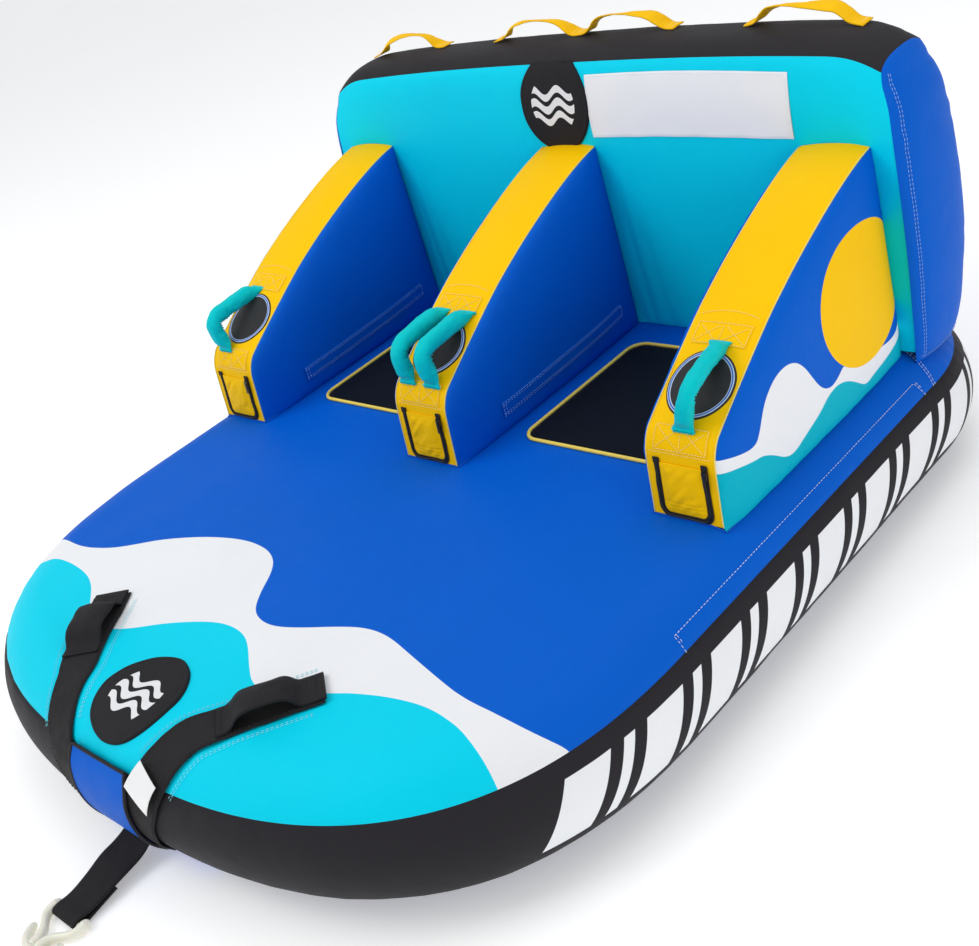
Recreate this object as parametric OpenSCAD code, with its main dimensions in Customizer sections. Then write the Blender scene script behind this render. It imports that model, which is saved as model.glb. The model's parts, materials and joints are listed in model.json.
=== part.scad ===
// Towable water tube for two seated riders: an inflated deck, three arm bolsters,
// a backrest, padded grips, valve hatches and a nose tow harness. Millimetres.
// The nose points to -Y, the riders face the nose, +Z is up, the deck stands on Z = 0.

/* [Deck] */
// Overall width of the deck
deck_w = 1520; // [1460:10:1600]
// Thickness of the inflated deck
deck_t = 260; // [250:2:270]
// Length of the rounded nose ahead of the straight sides
nose_len = 640; // [600:5:680]
// Squareness of the nose outline (2 is an ellipse)
nose_sq = 2.6; // [2.2:0.1:3]
// Where the straight sides end and the nose begins, from the arm fronts
side_front = -200; // [-220:5:-180]
// Rear edge of the deck, from the arm fronts
deck_rear = 900; // [880:5:940]
// Radius of the rear corners in plan
rear_corner = 320; // [260:5:340]

/* [Skins] */
// Thickness of every cover panel
skin = 2; // [1:0.5:2.5]
// Gap between a cover and its air chamber
slack = 1.2; // [0.8:0.2:2]
// Wall of every air chamber
wall = 2; // [1:0.5:2.5]

/* [Arms] */
// Distance between the arm centres
arm_pitch = 600; // [580:5:620]
// Width of each arm bolster
arm_w = 135; // [125:1:150]

/* [Backrest] */
// Width of the backrest
back_w = 1400; // [1360:10:1440]

/* [Grips] */
// Outer radius of a padded grip sleeve
grip_r = 15; // [13:0.5:15.5]
// Half spacing of the two grips on the centre arm
grip_half_gap = 33; // [31:1:36]
// Width of the grip webbing
grip_web = 21; // [18:1:22]

/* [Seat pads] */
// Width of a seat pad
pad_w = 340; // [300:5:380]
// Length of a seat pad
pad_l = 370; // [340:5:390]
// Thickness of a seat pad
pad_t = 6; // [4:1:10]

/* [Nose harness] */
// Width of the harness and tow webbing
strap_w = 74; // [70:1:80]
// Height of the grab loops on the harness
loop_rise = 29; // [24:1:34]

/* [Backrest handles] */
// Width of the backrest handle webbing
top_web = 36; // [30:1:40]
// Height of the backrest handle loops
top_rise = 42; // [36:1:50]

/* [Hidden] */
$fn = 48;

// The drawings below use the arm fronts as Y = 0 and the deck top as Z = 0.
shift_y = 81;
hw = deck_w / 2;
rr = deck_t / 2;          // radius of the deck's rounded edge
nose_tip = side_front - nose_len;
gap = 0.2;

blue = [0.02, 0.29, 0.78];
cyan = [0.02, 0.79, 0.90];
gold = [1.0, 0.79, 0.02];
black = [0.10, 0.10, 0.11];
white = [0.93, 0.94, 0.95];
pvc = [0.62, 0.66, 0.70];
cream = [0.93, 0.92, 0.86];

// ---- deck outline: [x, y, nx, ny] counter-clockwise seen from above ----
function unit2(v) = v / norm(v);
function nose(t, s) = let (
    p = [hw * pow(cos(t), 2 / nose_sq), side_front - nose_len * pow(sin(t), 2 / nose_sq)],
    k = 2 * (nose_sq - 1) / nose_sq,
    n = unit2([pow(cos(t), k) / hw, -pow(sin(t), k) / nose_len]))
  [s * p[0], p[1], s * n[0], n[1]];
function corner(a, s) = [s * (hw - rear_corner + rear_corner * cos(a)),
  deck_rear - rear_corner + rear_corner * sin(a), s * cos(a), sin(a)];
OUT = concat(
  [for (t = [90 : -5 : 0]) nose(t, 1)],
  [for (a = [0 : 15 : 90]) corner(a, 1)],
  [for (a = [90 : -15 : 0]) corner(a, -1)],
  [for (t = [0 : 5 : 85]) nose(t, -1)]);
N = len(OUT);
// a point of the rounded slab: outline point i, edge angle v (90 top, -90 underside), inset d
function slab_pt(i, v, d) = let (o = OUT[i], r = rr - d)
  [o[0] - o[2] * (rr - r * cos(v)), o[1] - o[3] * (rr - r * cos(v)), -rr + r * sin(v)];

// closed slab, inset by d all round
module slab(d, rows = 12) {
  pts = [for (j = [0 : rows]) for (i = [0 : N - 1]) slab_pt(i, 90 - 180 * j / rows, d)];
  faces = concat(
    [[for (i = [N - 1 : -1 : 0]) i]],
    [[for (i = [0 : N - 1]) rows * N + i]],
    [for (j = [0 : rows - 1]) for (i = [0 : N - 1])
      [j * N + i, j * N + (i + 1) % N, (j + 1) * N + (i + 1) % N, (j + 1) * N + i]]);
  polyhedron(pts, faces, convexity = 4);
}

// one cover panel of the slab between edge angles va and vb; top or bottom closes the flat face
module slab_panel(va, vb, rows, top = false, bottom = false) {
  M = (rows + 1) * N;
  pts = concat(
    [for (j = [0 : rows]) for (i = [0 : N - 1]) slab_pt(i, va + (vb - va) * j / rows, 0)],
    [for (j = [0 : rows]) for (i = [0 : N - 1]) slab_pt(i, va + (vb - va) * j / rows, skin)]);
  sides = [for (j = [0 : rows - 1]) for (i = [0 : N - 1]) let (k = (i + 1) % N)
    each [[j * N + i, j * N + k, (j + 1) * N + k, (j + 1) * N + i],
          [M + j * N + i, M + (j + 1) * N + i, M + (j + 1) * N + k, M + j * N + k]]];
  upper = top
    ? [[for (i = [N - 1 : -1 : 0]) i], [for (i = [0 : N - 1]) M + i]]
    : [for (i = [0 : N - 1]) let (k = (i + 1) % N) [i, M + i, M + k, k]];
  e = rows * N;
  lower = bottom
    ? [[for (i = [0 : N - 1]) e + i], [for (i = [N - 1 : -1 : 0]) M + e + i]]
    : [for (i = [0 : N - 1]) let (k = (i + 1) % N) [e + i, e + k, M + e + k, M + e + i]];
  polyhedron(pts, concat(sides, upper, lower), convexity = 6);
}

// ---- helpers ----
// extrude a (y, z) outline along X, from x0 to x1
module yz(x0, x1) { translate([x0, 0, 0]) rotate([90, 0, 90]) linear_extrude(x1 - x0) children(); }
function rev(p) = [for (i = [len(p) - 1 : -1 : 0]) p[i]];
function nrm(a, b) = let (e = (b - a) / norm(b - a)) [e[1], -e[0]];
// move a clockwise closed outline inwards by d
function inset(P, d) = let (n = len(P)) [for (i = [0 : n - 1])
  let (a = nrm(P[(i + n - 1) % n], P[i]), b = nrm(P[i], P[(i + 1) % n]))
  P[i] + d * (a + b) / (1 + a * b)];
// move an open line to its right-hand side by d
function beside(P, d) = let (n = len(P)) [for (i = [0 : n - 1])
  let (a = nrm(P[max(0, i - 1)], P[max(1, i)]), b = nrm(P[min(n - 2, i)], P[min(n - 1, i + 1)]))
  P[i] + d * (a + b) / (1 + a * b)];
function ribbon(P, d0, d1) = concat(beside(P, d0), rev(beside(P, d1)));
// points i to j of a line P, and the same stretch d to its right, so that neighbours meet on a mitre
function stretch(P, i, j, d) = let (Q = beside(P, d)) concat([for (k = [i : j]) P[k]], [for (k = [j : -1 : i]) Q[k]]);
function round_rect(x0, y0, x1, y1, r) = concat(
  [for (a = [0 : 15 : 90]) [x1 - r + r * cos(a), y1 - r + r * sin(a)]],
  [for (a = [90 : 15 : 180]) [x0 + r + r * cos(a), y1 - r + r * sin(a)]],
  [for (a = [180 : 15 : 270]) [x0 + r + r * cos(a), y0 + r + r * sin(a)]],
  [for (a = [270 : 15 : 360]) [x1 - r + r * cos(a), y0 + r + r * sin(a)]]);
module arc_sheet(r0, r1, v0, v1, x0, x1) {
  // sheet bent round the nose or rear edge, in the plane of an edge centre at the origin
  yz(x0, x1) polygon(concat(
    [for (k = [0 : 12]) let (v = v0 + (v1 - v0) * k / 12) [-r1 * cos(v), r1 * sin(v)]],
    [for (k = [12 : -1 : 0]) let (v = v0 + (v1 - v0) * k / 12) [-r0 * cos(v), r0 * sin(v)]]));
}

// ---- arm profile in (y, z): up the front, over the slope, down the rear ----
FACE = [[0, 0.5], [12, 104]];
LIP = [[16, 120], [26, 139], [40, 153]];
SLOPE = [[205, 253], [270, 285], [330, 312], [420, 347], [490, 370], [545, 384], [582, 390]];
ARM = concat(FACE, LIP, SLOPE, [[577, 250], [575, 120], [573, 0.5]]);
ARM_TOP = concat(FACE, LIP, SLOPE);
face_tilt = atan2(12, 103.5);
slope_tilt = atan2(100, 165);
arm_x = [-arm_pitch, 0, arm_pitch];
module on_face(k) { translate([arm_x[k], 0, 0.5]) rotate([90 - face_tilt, 0, 0]) children(); }
module on_slope(k) { translate([arm_x[k], 40, 153]) rotate([slope_tilt, 0, 0]) children(); }
hatch_s = 54;             // centre of the valve hatch, up the front face

// ---- backrest section in (y, z) ----
BACK_F = [[575, 0.5], [577, 120], [580, 250], [586, 400], [596, 500], [606, 530]];
BACK_T = [[606, 530], [625, 543], [650, 549], [680, 550], [725, 550], [745, 538]];
BACK_R = [[745, 538], [757, 500], [765, 400], [768, 300], [765, 170], [750, 60], [712, 0.5]];
BACK_LINE = concat(BACK_F, [for (i = [1 : 5]) BACK_T[i]], [for (i = [1 : 6]) BACK_R[i]]);
BACK = concat(BACK_F, [for (i = [1 : 5]) BACK_T[i]], [for (i = [1 : 6]) BACK_R[i]]);

// ---- deck ----
module at_rear(v) { translate([0, deck_rear - rr, -rr]) rotate([v, 0, 0]) children(); }
module deck_bladder() { color(pvc)
  difference() {
    slab(skin + slack);
    slab(skin + slack + wall);
    at_rear(18) rotate([-90, 0, 0]) cylinder(r = 18, h = 200);
  }
}
seam = 35.5;              // edge angle of the seam between the top panel and the side band
module deck_top_panel() { color(blue) slab_panel(90, seam + 0.2, 4, top = true); }
module deck_side_band() { color(black)
  difference() {
    slab_panel(seam - 0.2, -49.8, 8);
    at_rear(18) rotate([-90, 0, 0]) cylinder(r = 30, h = 200);
  }
}
module deck_bottom_panel() { color(blue) slab_panel(-50.2, -90, 4, bottom = true); }

// ---- nose harness ----
// a point of the rounded nose at plan offset x and edge angle v, g off the cover
function nose_at(x, v, g) = let (
    o = nose(acos(pow(x / hw, nose_sq / 2)), 1), r = rr + g)
  [o[0] - o[2] * (rr - r * cos(v)), o[1] - o[3] * (rr - r * cos(v)), -rr + r * sin(v)];
function nose_up(x, v) = unit3(nose_at(x, v, 1) - nose_at(x, v, 0));
function unit3(v) = v / norm(v);
// strap centre line, right-hand side: flat on the deck, then over the nose and under the wrap
strap_end = [305, -564, 0];
strap_mid = [203, -700, 0];
OVER = [[186, 80], [167, 65], [150, 50], [133, 35], [113, 18], [94, 0], [78, -18], [66, -34]];
STRAP = concat([strap_end, (strap_end + strap_mid) / 2, strap_mid], [for (q = OVER) nose_at(q[0], q[1], 0)]);
STRAP_N = concat([for (i = [0 : 2]) [0, 0, 1]], [for (q = OVER) nose_up(q[0], q[1])]);
module strap_sweep(P, Q, w, g, t) {
  n = len(P);
  sec = [for (i = [0 : n - 1]) let (
      d = P[min(n - 1, i + 1)] - P[max(0, i - 1)],
      c = cross(d, Q[i]), s = c / norm(c) * w / 2, u = Q[i])
    each [P[i] + u * g - s, P[i] + u * g + s, P[i] + u * (g + t) + s, P[i] + u * (g + t) - s]];
  polyhedron(sec, concat([[0, 1, 2, 3]], [[4 * n - 1, 4 * n - 2, 4 * n - 3, 4 * n - 4]],
    [for (i = [0 : n - 2]) for (k = [0 : 3]) let (a = 4 * i + k, b = 4 * i + (k + 1) % 4)
      each k == 2 ? [[a, a + 4, b], [b, a + 4, b + 4]] : [[a, a + 4, b + 4], [a, b + 4, b]]]), convexity = 4);
}
module nose_strap() { color(black) strap_sweep(STRAP, STRAP_N, strap_w, 3.4, 3); }
// raised grab loop sewn on a nose strap
strap_dir = strap_mid - strap_end;
loop_turn = atan2(strap_dir[1], strap_dir[0]);
LOOP = [[4, 1.8], [34, 1.8], [42, 12], [54, loop_rise - 6], [70, loop_rise], [118, loop_rise],
  [134, loop_rise - 6], [146, 12], [154, 1.8], [166, 1.8]];
module nose_loop() { color(black)
  translate([strap_end[0], strap_end[1], 6.7]) rotate([0, 0, loop_turn])
    rotate([90, 0, 0]) translate([0, 0, -(strap_w - 8) / 2]) linear_extrude(strap_w - 8) polygon(ribbon(LOOP, -1.5, 1.5));
}
module nose_centre() { translate([0, nose_tip + rr, -rr]) children(); }
module tow_wrap() { color(blue) nose_centre() arc_sheet(rr + 8.2, rr + 11.2, 36, -36, -80, 80); }
module nose_patch() { color(blue) nose_centre() arc_sheet(rr + 1.5, rr + 4, -50, -72, -150, 150); }
// tow strap, hinged under the wrap, and the connector bar it loops round
strap_root = [-820, -222];
bar_at = [-985, -250];
module tow_strap() { color(black) {
  d = bar_at - strap_root;
  L = norm(d);
  difference() {
    union() {
      translate([0, strap_root[0], strap_root[1]]) rotate([atan2(-d[1], -d[0]), 0, 0])
        translate([-35, -L, -2.5]) cube([70, L - 3, 5]);
      translate([-35, bar_at[0], bar_at[1]]) rotate([0, 90, 0]) cylinder(r = 8.5, h = 70);
    }
    translate([-36, bar_at[0], bar_at[1]]) rotate([0, 90, 0]) cylinder(r = 5.9, h = 72);
  }
} }
// flat moulded yoke, neck and crescent that the tow rope's loop drops behind
module tow_connector() { color(cream)
  translate([0, 0, bar_at[1]]) {
    translate([-40, bar_at[0], 0]) rotate([0, 90, 0]) cylinder(r = 5.5, h = 80);
    translate([0, 0, -8]) linear_extrude(16) {
      polygon([[50, -976], [50, -1000], [11, -1030], [11, -1056], [-11, -1056], [-11, -1030], [-50, -1000], [-50, -976],
        [-38, -976], [-38, -997], [-7, -1016], [7, -1016], [38, -997], [38, -976]]);
      polygon(concat(
        [for (a = [200 : 10 : 340]) [50 * cos(a), -1012 + 50 * sin(a)]],
        [for (a = [340 : -10 : 200]) [38 * cos(a), -1012 + 38 * sin(a)]]));
    }
  }
}

// ---- seats ----
pad_y = 122;
module pad(s, grow, z0, z1) {
  x = s * arm_pitch / 2;
  translate([0, 0, z0]) linear_extrude(z1 - z0)
    polygon(round_rect(x - pad_w / 2 - grow, pad_y - grow, x + pad_w / 2 + grow, pad_y + pad_l + grow, 32 + grow));
}
module seat_pad(s) { color(black) pad(s, 0, gap, pad_t); }
module seat_pad_piping() { color(gold)
  for (s = [-1, 1]) difference() { pad(s, 6, gap, pad_t + 1); pad(s, 0.4, -1, pad_t + 3); }
}

// ---- arms ----
module arm_bladder(k) { color(pvc)
  translate([arm_x[k], 0, 0]) difference() {
    yz(-arm_w / 2 + 4, arm_w / 2 - 4) polygon(inset(ARM, skin + slack));
    yz(-arm_w / 2 + 4 + wall, arm_w / 2 - 4 - wall) polygon(inset(ARM, skin + slack + wall));
    translate([-arm_x[k], 0, 0]) on_face(k) translate([0, hatch_s, -12]) cylinder(r = 15.2, h = 20);
  }
}
module arm_sides(k) { color(blue)
  translate([arm_x[k], 0, 0]) for (s = [-1, 1])
    yz(s * (arm_w / 2 - 1) - skin / 2, s * (arm_w / 2 - 1) + skin / 2) polygon(inset(ARM, skin + 0.3));
}
module arm_strip(k) { color(gold)
  difference() {
    translate([arm_x[k], 0, 0]) yz(-arm_w / 2, arm_w / 2) polygon(ribbon(ARM_TOP, 0, skin));
    on_face(k) translate([-36, hatch_s - 36, -10]) cube([72, 72, 20]);
  }
}
module knuckle_pads() { color(black)
  for (k = [0 : 2]) on_slope(k) translate([0, 75, gap]) cylinder(r = 61, h = 3);
}
module webbing_anchor_patches() { color(gold) {
  for (k = [0 : 2]) {
    translate([arm_x[k], 0, 0]) yz(-50, 50) polygon(ribbon(
      [[16, 120], [26, 139], [36, 150.1]], -1.8, -gap));
    on_slope(k) translate([-50, 147, gap]) cube([100, 38, 1.6]);
  }
  for (x = handle_x) for (s = [-1, 1]) {
    translate([x + s * 96 - 16, 700 - top_web / 2, 550 + gap]) cube([32, top_web, 2.6]);
    translate([x + s * 82 - 2, 695, 552.5]) cube([4, 10, 6]);
  }
} }

// ---- valve hatches ----
module valve_flap(k) { color(gold)
  on_face(k) translate([-43, 8, 1.2]) cube([86, 92, 2]);
}
module zip_tapes() { color(black) {
  for (k = [0 : 2]) on_face(k) translate([0, 0, gap]) difference() {
    translate([-50, 1.2, 0]) cube([100, 98.8, 3.2]);
    translate([-44, 7.2, -1]) cube([88, 100, 6]);
  }
  at_rear(-28) translate([-420, rr + 0.8, -14]) cube([840, 1.6, 28]);
  at_rear(-28) translate([-410, rr + 2.4, -3]) cube([820, 1.6, 6]);
} }
module zip_slider(k) { color(black)
  on_face(k) {
    translate([44, 84, 3.8]) cube([9, 14, 4]);
    translate([46, 70, 7.8]) cube([5, 22, 1.6]);
  }
}
module deck_zip_slider() { color(black)
  at_rear(-28) {
    translate([-400, rr + 4.2, -5]) cube([16, 4.5, 10]);
    translate([-395, rr + 8.7, -3]) cube([28, 1.6, 6]);
  }
}
// push-in valve seat: flange, barrel and a floor with vent holes; w = 0 is the flange's outer face
module valve_body(flange, barrel, deep) {
  difference() {
    union() {
      translate([0, 0, -1.8]) cylinder(r = flange, h = 1.8);
      translate([0, 0, -deep]) cylinder(r = barrel, h = deep - 1);
    }
    translate([0, 0, -deep + 2]) cylinder(r = barrel - 2.5, h = deep + 2);
    for (a = [0 : 90 : 270]) rotate([0, 0, a]) translate([barrel * 0.45, 0, -deep - 1]) cylinder(r = 2.6, h = 5);
  }
}
module valve_cap(head, plug, deep) {
  difference() {
    union() {
      translate([0, 0, 0.2]) cylinder(r = head, h = 1.8);
      translate([0, 0, -deep]) cylinder(r = plug, h = deep + 0.4);
    }
    for (a = [0, 180]) rotate([0, 0, a]) translate([head * 0.5, 0, 0.9]) cylinder(r = head * 0.16, h = 4);
  }
}
module at_hatch(k) { on_face(k) translate([0, hatch_s, -1.2]) children(); }
module at_deck_valve() { at_rear(18) translate([0, rr + 0.5, 0]) rotate([-90, 0, 0]) children(); }
module at_back_valve() { translate([-300, 770.5, 290]) rotate([-90, 0, 0]) children(); }
module valve_bodies() { color([0.85, 0.86, 0.88]) {
  for (k = [0 : 2]) at_hatch(k) valve_body(21, 15, 23);
  at_deck_valve() valve_body(28, 17.5, 30);
  at_back_valve() valve_body(28, 17.5, 30);
} }
module hatch_cap(k) { color(black) at_hatch(k) valve_cap(17, 12.2, 12); }
module deck_valve_cap() { color(black) at_deck_valve() valve_cap(24, 14.7, 14); }
module back_valve_cap() { color(black) at_back_valve() valve_cap(24, 14.7, 14); }

// ---- grips: a sleeve over webbing, straight up, round a bend and down the slope ----
grip_x = [-arm_pitch - 22, -grip_half_gap, grip_half_gap, arm_pitch + 6];
g_a = 2;  g_b = 15;        // start of the sleeve along and above the slope
g_up = 65; g_down = 27;    // rise and fall angles
g_l1 = 31; g_l2 = 80; g_r = 30;
module at_grip(i) { translate([grip_x[i], 40, 153]) rotate([slope_tilt, 0, 0]) children(); }
// local frame: X across, Y along the slope, Z off the slope
g_c = [g_a + g_l1 * cos(g_up) + g_r * sin(g_up), g_b + g_l1 * sin(g_up) - g_r * cos(g_up)];
g_e = g_c + g_r * [sin(g_down), cos(g_down)] + g_l2 * [cos(g_down), -sin(g_down)];
GRIP = concat([[g_a, g_b]],
  [for (k = [0 : 6]) let (a = 90 + g_up - k * (g_up + g_down) / 6) g_c + g_r * [cos(a), sin(a)]], [g_e]);
// round cord along a (y, z) line
module cord_sweep(P, r, sides = 16) {
  n = len(P);
  pts = [for (i = [0 : n - 1]) let (
      a = nrm(P[max(0, i - 1)], P[max(1, i)]), b = nrm(P[min(n - 2, i)], P[min(n - 1, i + 1)]), u = (a + b) / norm(a + b))
    for (k = [0 : sides - 1]) let (t = 360 * (k + 0.5) / sides) [r * cos(t), P[i][0] + r * sin(t) * u[0], P[i][1] + r * sin(t) * u[1]]];
  polyhedron(pts, concat(
    [[for (k = [0 : sides - 1]) k]], [[for (k = [sides - 1 : -1 : 0]) (n - 1) * sides + k]],
    [for (i = [0 : n - 2]) for (k = [0 : sides - 1]) let (m = (k + 1) % sides)
      [i * sides + k, (i + 1) * sides + k, (i + 1) * sides + m, i * sides + m]]), convexity = 4);
}
module grip_sleeve(i) { color(cyan) at_grip(i) cord_sweep(GRIP, grip_r); }
// the two ends of the webbing, from the sleeve down to the sewn patches
module grip_webbing(i) { color(cyan) at_grip(i)
  rotate([90, 0, 90]) translate([0, 0, -grip_web / 2]) linear_extrude(grip_web) {
    polygon(ribbon([[g_a, g_b] - 7 * [cos(g_up), sin(g_up)], [g_a, g_b] - 0.1 * [cos(g_up), sin(g_up)]], -1.5, 1.5));
    polygon(ribbon([g_e + 0.1 * [cos(g_down), -sin(g_down)], g_e + 13 * [cos(g_down), -sin(g_down)]], -1.5, 1.5));
  }
}

// ---- backrest ----
module back_bladder() { color(pvc)
  difference() {
    yz(-back_w / 2 + 4, back_w / 2 - 4) polygon(inset(BACK, skin + slack));
    yz(-back_w / 2 + 4 + wall, back_w / 2 - 4 - wall) polygon(inset(BACK, skin + slack + wall));
    translate([-300, 750, 290]) rotate([-90, 0, 0]) cylinder(r = 18, h = 40);
  }
}
module back_front_panel() { color(cyan) yz(-back_w / 2 + skin, back_w / 2 - skin) polygon(stretch(BACK_LINE, 0, 5, skin)); }
module back_top_panel() { color(black) yz(-back_w / 2 + skin, back_w / 2 - skin) polygon(stretch(BACK_LINE, 5, 10, skin)); }
module back_side_panels() { color(blue) for (s = [-1, 1])
  yz(s * (back_w / 2 - skin / 2 + 0.05) - skin / 2 + 0.1, s * (back_w / 2 - skin / 2 + 0.05) + skin / 2) polygon(BACK);
}
module back_rear_panel() { color(blue)
  difference() {
    yz(-back_w / 2 + skin, back_w / 2 - skin) polygon(stretch(BACK_LINE, 10, 16, skin));
    translate([-300, 750, 290]) rotate([-90, 0, 0]) cylinder(r = 30, h = 40);
  }
}
handle_x = [-505, -115, 115, 505];
TOP_LOOP = [[-82, 12.5], [-79, 24], [-68, top_rise - 5], [-52, top_rise], [52, top_rise], [68, top_rise - 5], [79, 24], [82, 12.5]];
module back_handle(i) { color(gold)
  translate([handle_x[i], 700 + top_web / 2, 550]) rotate([90, 0, 0]) linear_extrude(top_web) polygon(ribbon(TOP_LOOP, -1.8, 1.8));
}

// ---- badges and labels ----
back_lean = atan2(10, 100);
module on_back() { translate([0, 586, 400]) rotate([90 - back_lean, 0, 0]) children(); }
module emblem_badges() { color(black) {
  on_back() translate([0, 76, 1]) cylinder(r = 80, h = 5);
  intersection() {
    translate([0, -718, -70]) cylinder(r = 84, h = 90);
    yz(-90, 90) polygon(concat([[-560, 1.5], [nose_tip + rr, 1.5]],
      [for (v = [85 : -5 : 40]) [nose_tip + rr - (rr + 1.5) * cos(v), -rr + (rr + 1.5) * sin(v)]],
      [for (v = [40 : 5 : 85]) [nose_tip + rr - (rr + 6.5) * cos(v), -rr + (rr + 6.5) * sin(v)]],
      [[nose_tip + rr, 6.5], [-560, 6.5]]));
  }
} }
module label_patches() { color(white) {
  on_back() translate([100, -3, 0.6]) cube([450, 116, 0.8]);
  nose_centre() arc_sheet(rr + 7.4, rr + 8.2, 22, 48, 94, 150);
} }

module place() { translate([0, shift_y, deck_t]) children(); }

place() deck_bladder();
place() deck_top_panel();
place() deck_side_band();
place() deck_bottom_panel();
place() mirror([1, 0, 0]) nose_strap();  // nose_strap_left
place() nose_strap();  // nose_strap_right
place() mirror([1, 0, 0]) nose_loop();  // nose_loop_left
place() nose_loop();  // nose_loop_right
place() tow_wrap();
place() nose_patch();
place() tow_strap();
place() tow_connector();
place() seat_pad(-1);  // seat_pad_left
place() seat_pad(1);  // seat_pad_right
place() seat_pad_piping();
place() arm_bladder(0);  // arm_bladder_left
place() arm_bladder(1);  // arm_bladder_centre
place() arm_bladder(2);  // arm_bladder_right
place() arm_sides(0);  // arm_sides_left
place() arm_sides(1);  // arm_sides_centre
place() arm_sides(2);  // arm_sides_right
place() arm_strip(0);  // arm_strip_left
place() arm_strip(1);  // arm_strip_centre
place() arm_strip(2);  // arm_strip_right
place() knuckle_pads();
place() webbing_anchor_patches();
place() valve_flap(0);  // valve_flap_left
place() valve_flap(1);  // valve_flap_centre
place() valve_flap(2);  // valve_flap_right
place() zip_tapes();
place() zip_slider(0);  // zip_slider_left
place() zip_slider(1);  // zip_slider_centre
place() zip_slider(2);  // zip_slider_right
place() deck_zip_slider();
place() valve_bodies();
place() hatch_cap(0);  // valve_cap_left
place() hatch_cap(1);  // valve_cap_centre
place() hatch_cap(2);  // valve_cap_right
place() deck_valve_cap();
place() back_valve_cap();
place() grip_sleeve(0);  // grip_sleeve_left
place() grip_sleeve(1);  // grip_sleeve_centre_a
place() grip_sleeve(2);  // grip_sleeve_centre_b
place() grip_sleeve(3);  // grip_sleeve_right
place() grip_webbing(0);  // grip_webbing_left
place() grip_webbing(1);  // grip_webbing_centre_a
place() grip_webbing(2);  // grip_webbing_centre_b
place() grip_webbing(3);  // grip_webbing_right
place() back_bladder();
place() back_front_panel();
place() back_top_panel();
place() back_side_panels();
place() back_rear_panel();
place() back_handle(0);  // back_handle_1
place() back_handle(1);  // back_handle_2
place() back_handle(2);  // back_handle_3
place() back_handle(3);  // back_handle_4
place() emblem_badges();
place() label_patches();
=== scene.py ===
# Towable tube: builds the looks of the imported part. Metres, drawn with the arm fronts at
# y = 0 and the deck top at z = 0, then shifted into the row frame by SH.
import json
import math

import bpy
import numpy as np
from mathutils import Matrix, Vector


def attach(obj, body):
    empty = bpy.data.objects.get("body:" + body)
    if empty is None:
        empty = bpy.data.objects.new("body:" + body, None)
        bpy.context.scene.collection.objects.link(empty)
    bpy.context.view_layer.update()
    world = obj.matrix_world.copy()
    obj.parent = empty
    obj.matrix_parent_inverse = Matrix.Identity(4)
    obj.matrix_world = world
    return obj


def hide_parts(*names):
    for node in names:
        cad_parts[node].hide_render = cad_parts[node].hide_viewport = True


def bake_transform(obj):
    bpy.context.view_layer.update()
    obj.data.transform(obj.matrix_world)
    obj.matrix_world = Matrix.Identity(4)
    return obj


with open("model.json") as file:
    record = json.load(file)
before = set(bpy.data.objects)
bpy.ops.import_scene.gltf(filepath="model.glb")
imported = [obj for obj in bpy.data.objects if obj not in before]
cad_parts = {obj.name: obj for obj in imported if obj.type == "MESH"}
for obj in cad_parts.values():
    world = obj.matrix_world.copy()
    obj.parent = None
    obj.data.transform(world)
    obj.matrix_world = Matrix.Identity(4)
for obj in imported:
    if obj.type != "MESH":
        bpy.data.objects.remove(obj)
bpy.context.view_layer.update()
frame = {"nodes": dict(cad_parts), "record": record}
SH = np.array([0.0, 0.081, 0.260])
A = np.array
TAU = 2 * math.pi


# ---------------------------------------------------------------- numbers
def vnoise(p, seed=0):
    """Smooth value noise in -1..1 on points p (n, 3)."""
    p = np.asarray(p, float)
    i = np.floor(p).astype(np.int64)
    f = p - i
    f = f * f * (3 - 2 * f)

    def h(a, b, c):
        n = (a * 73856093) ^ (b * 19349663) ^ (c * 83492791) ^ (seed * 7919 + 13)
        n = ((n ^ (n >> 13)) * 12741261) & 0x7FFFFFFF
        n = ((n ^ (n >> 15)) * 1597334677) & 0x7FFFFFFF
        return ((n >> 8) & 0xFFFF) / 32767.5 - 1

    r = 0
    for dx in (0, 1):
        for dy in (0, 1):
            for dz in (0, 1):
                w = (
                    (f[:, 0] if dx else 1 - f[:, 0])
                    * (f[:, 1] if dy else 1 - f[:, 1])
                    * (f[:, 2] if dz else 1 - f[:, 2])
                )
                r = r + w * h(i[:, 0] + dx, i[:, 1] + dy, i[:, 2] + dz)
    return r


def n1(t, seed=0):
    """Smooth noise along a line."""
    t = np.asarray(t, float)
    z = np.zeros(t.size)
    return vnoise(np.stack([t.ravel(), z + 0.37, z + 0.71], 1), seed).reshape(t.shape)


def curve(points, step=0.005, closed=False, smooth=3, keep_ends=True):
    """A smooth polyline through or near the points, resampled about every step metres."""
    P = A(points, float)
    for _ in range(smooth):
        if closed:
            Q = np.roll(P, -1, 0)
            P = np.stack([P * 0.75 + Q * 0.25, P * 0.25 + Q * 0.75], 1).reshape(-1, P.shape[1])
        else:
            a, b = P[:-1], P[1:]
            M = np.stack([a * 0.75 + b * 0.25, a * 0.25 + b * 0.75], 1).reshape(-1, P.shape[1])
            P = np.vstack([P[:1], M[1:-1], P[-1:]])
    if closed:
        P = np.vstack([P, P[:1]])
    return resample(P, step)


def resample(P, step=None, n=None):
    d = np.r_[0, np.cumsum(np.linalg.norm(np.diff(P, axis=0), axis=1))]
    if n is None:
        n = max(2, int(round(d[-1] / step)) + 1)
    t = np.linspace(0, d[-1], n)
    return np.stack([np.interp(t, d, P[:, k]) for k in range(P.shape[1])], 1)


def lengths(P):
    return np.r_[0, np.cumsum(np.linalg.norm(np.diff(P, axis=0), axis=1))]


def unit(v):
    v = np.asarray(v, float)
    return v / np.maximum(np.linalg.norm(v, axis=-1, keepdims=True), 1e-12)


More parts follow.
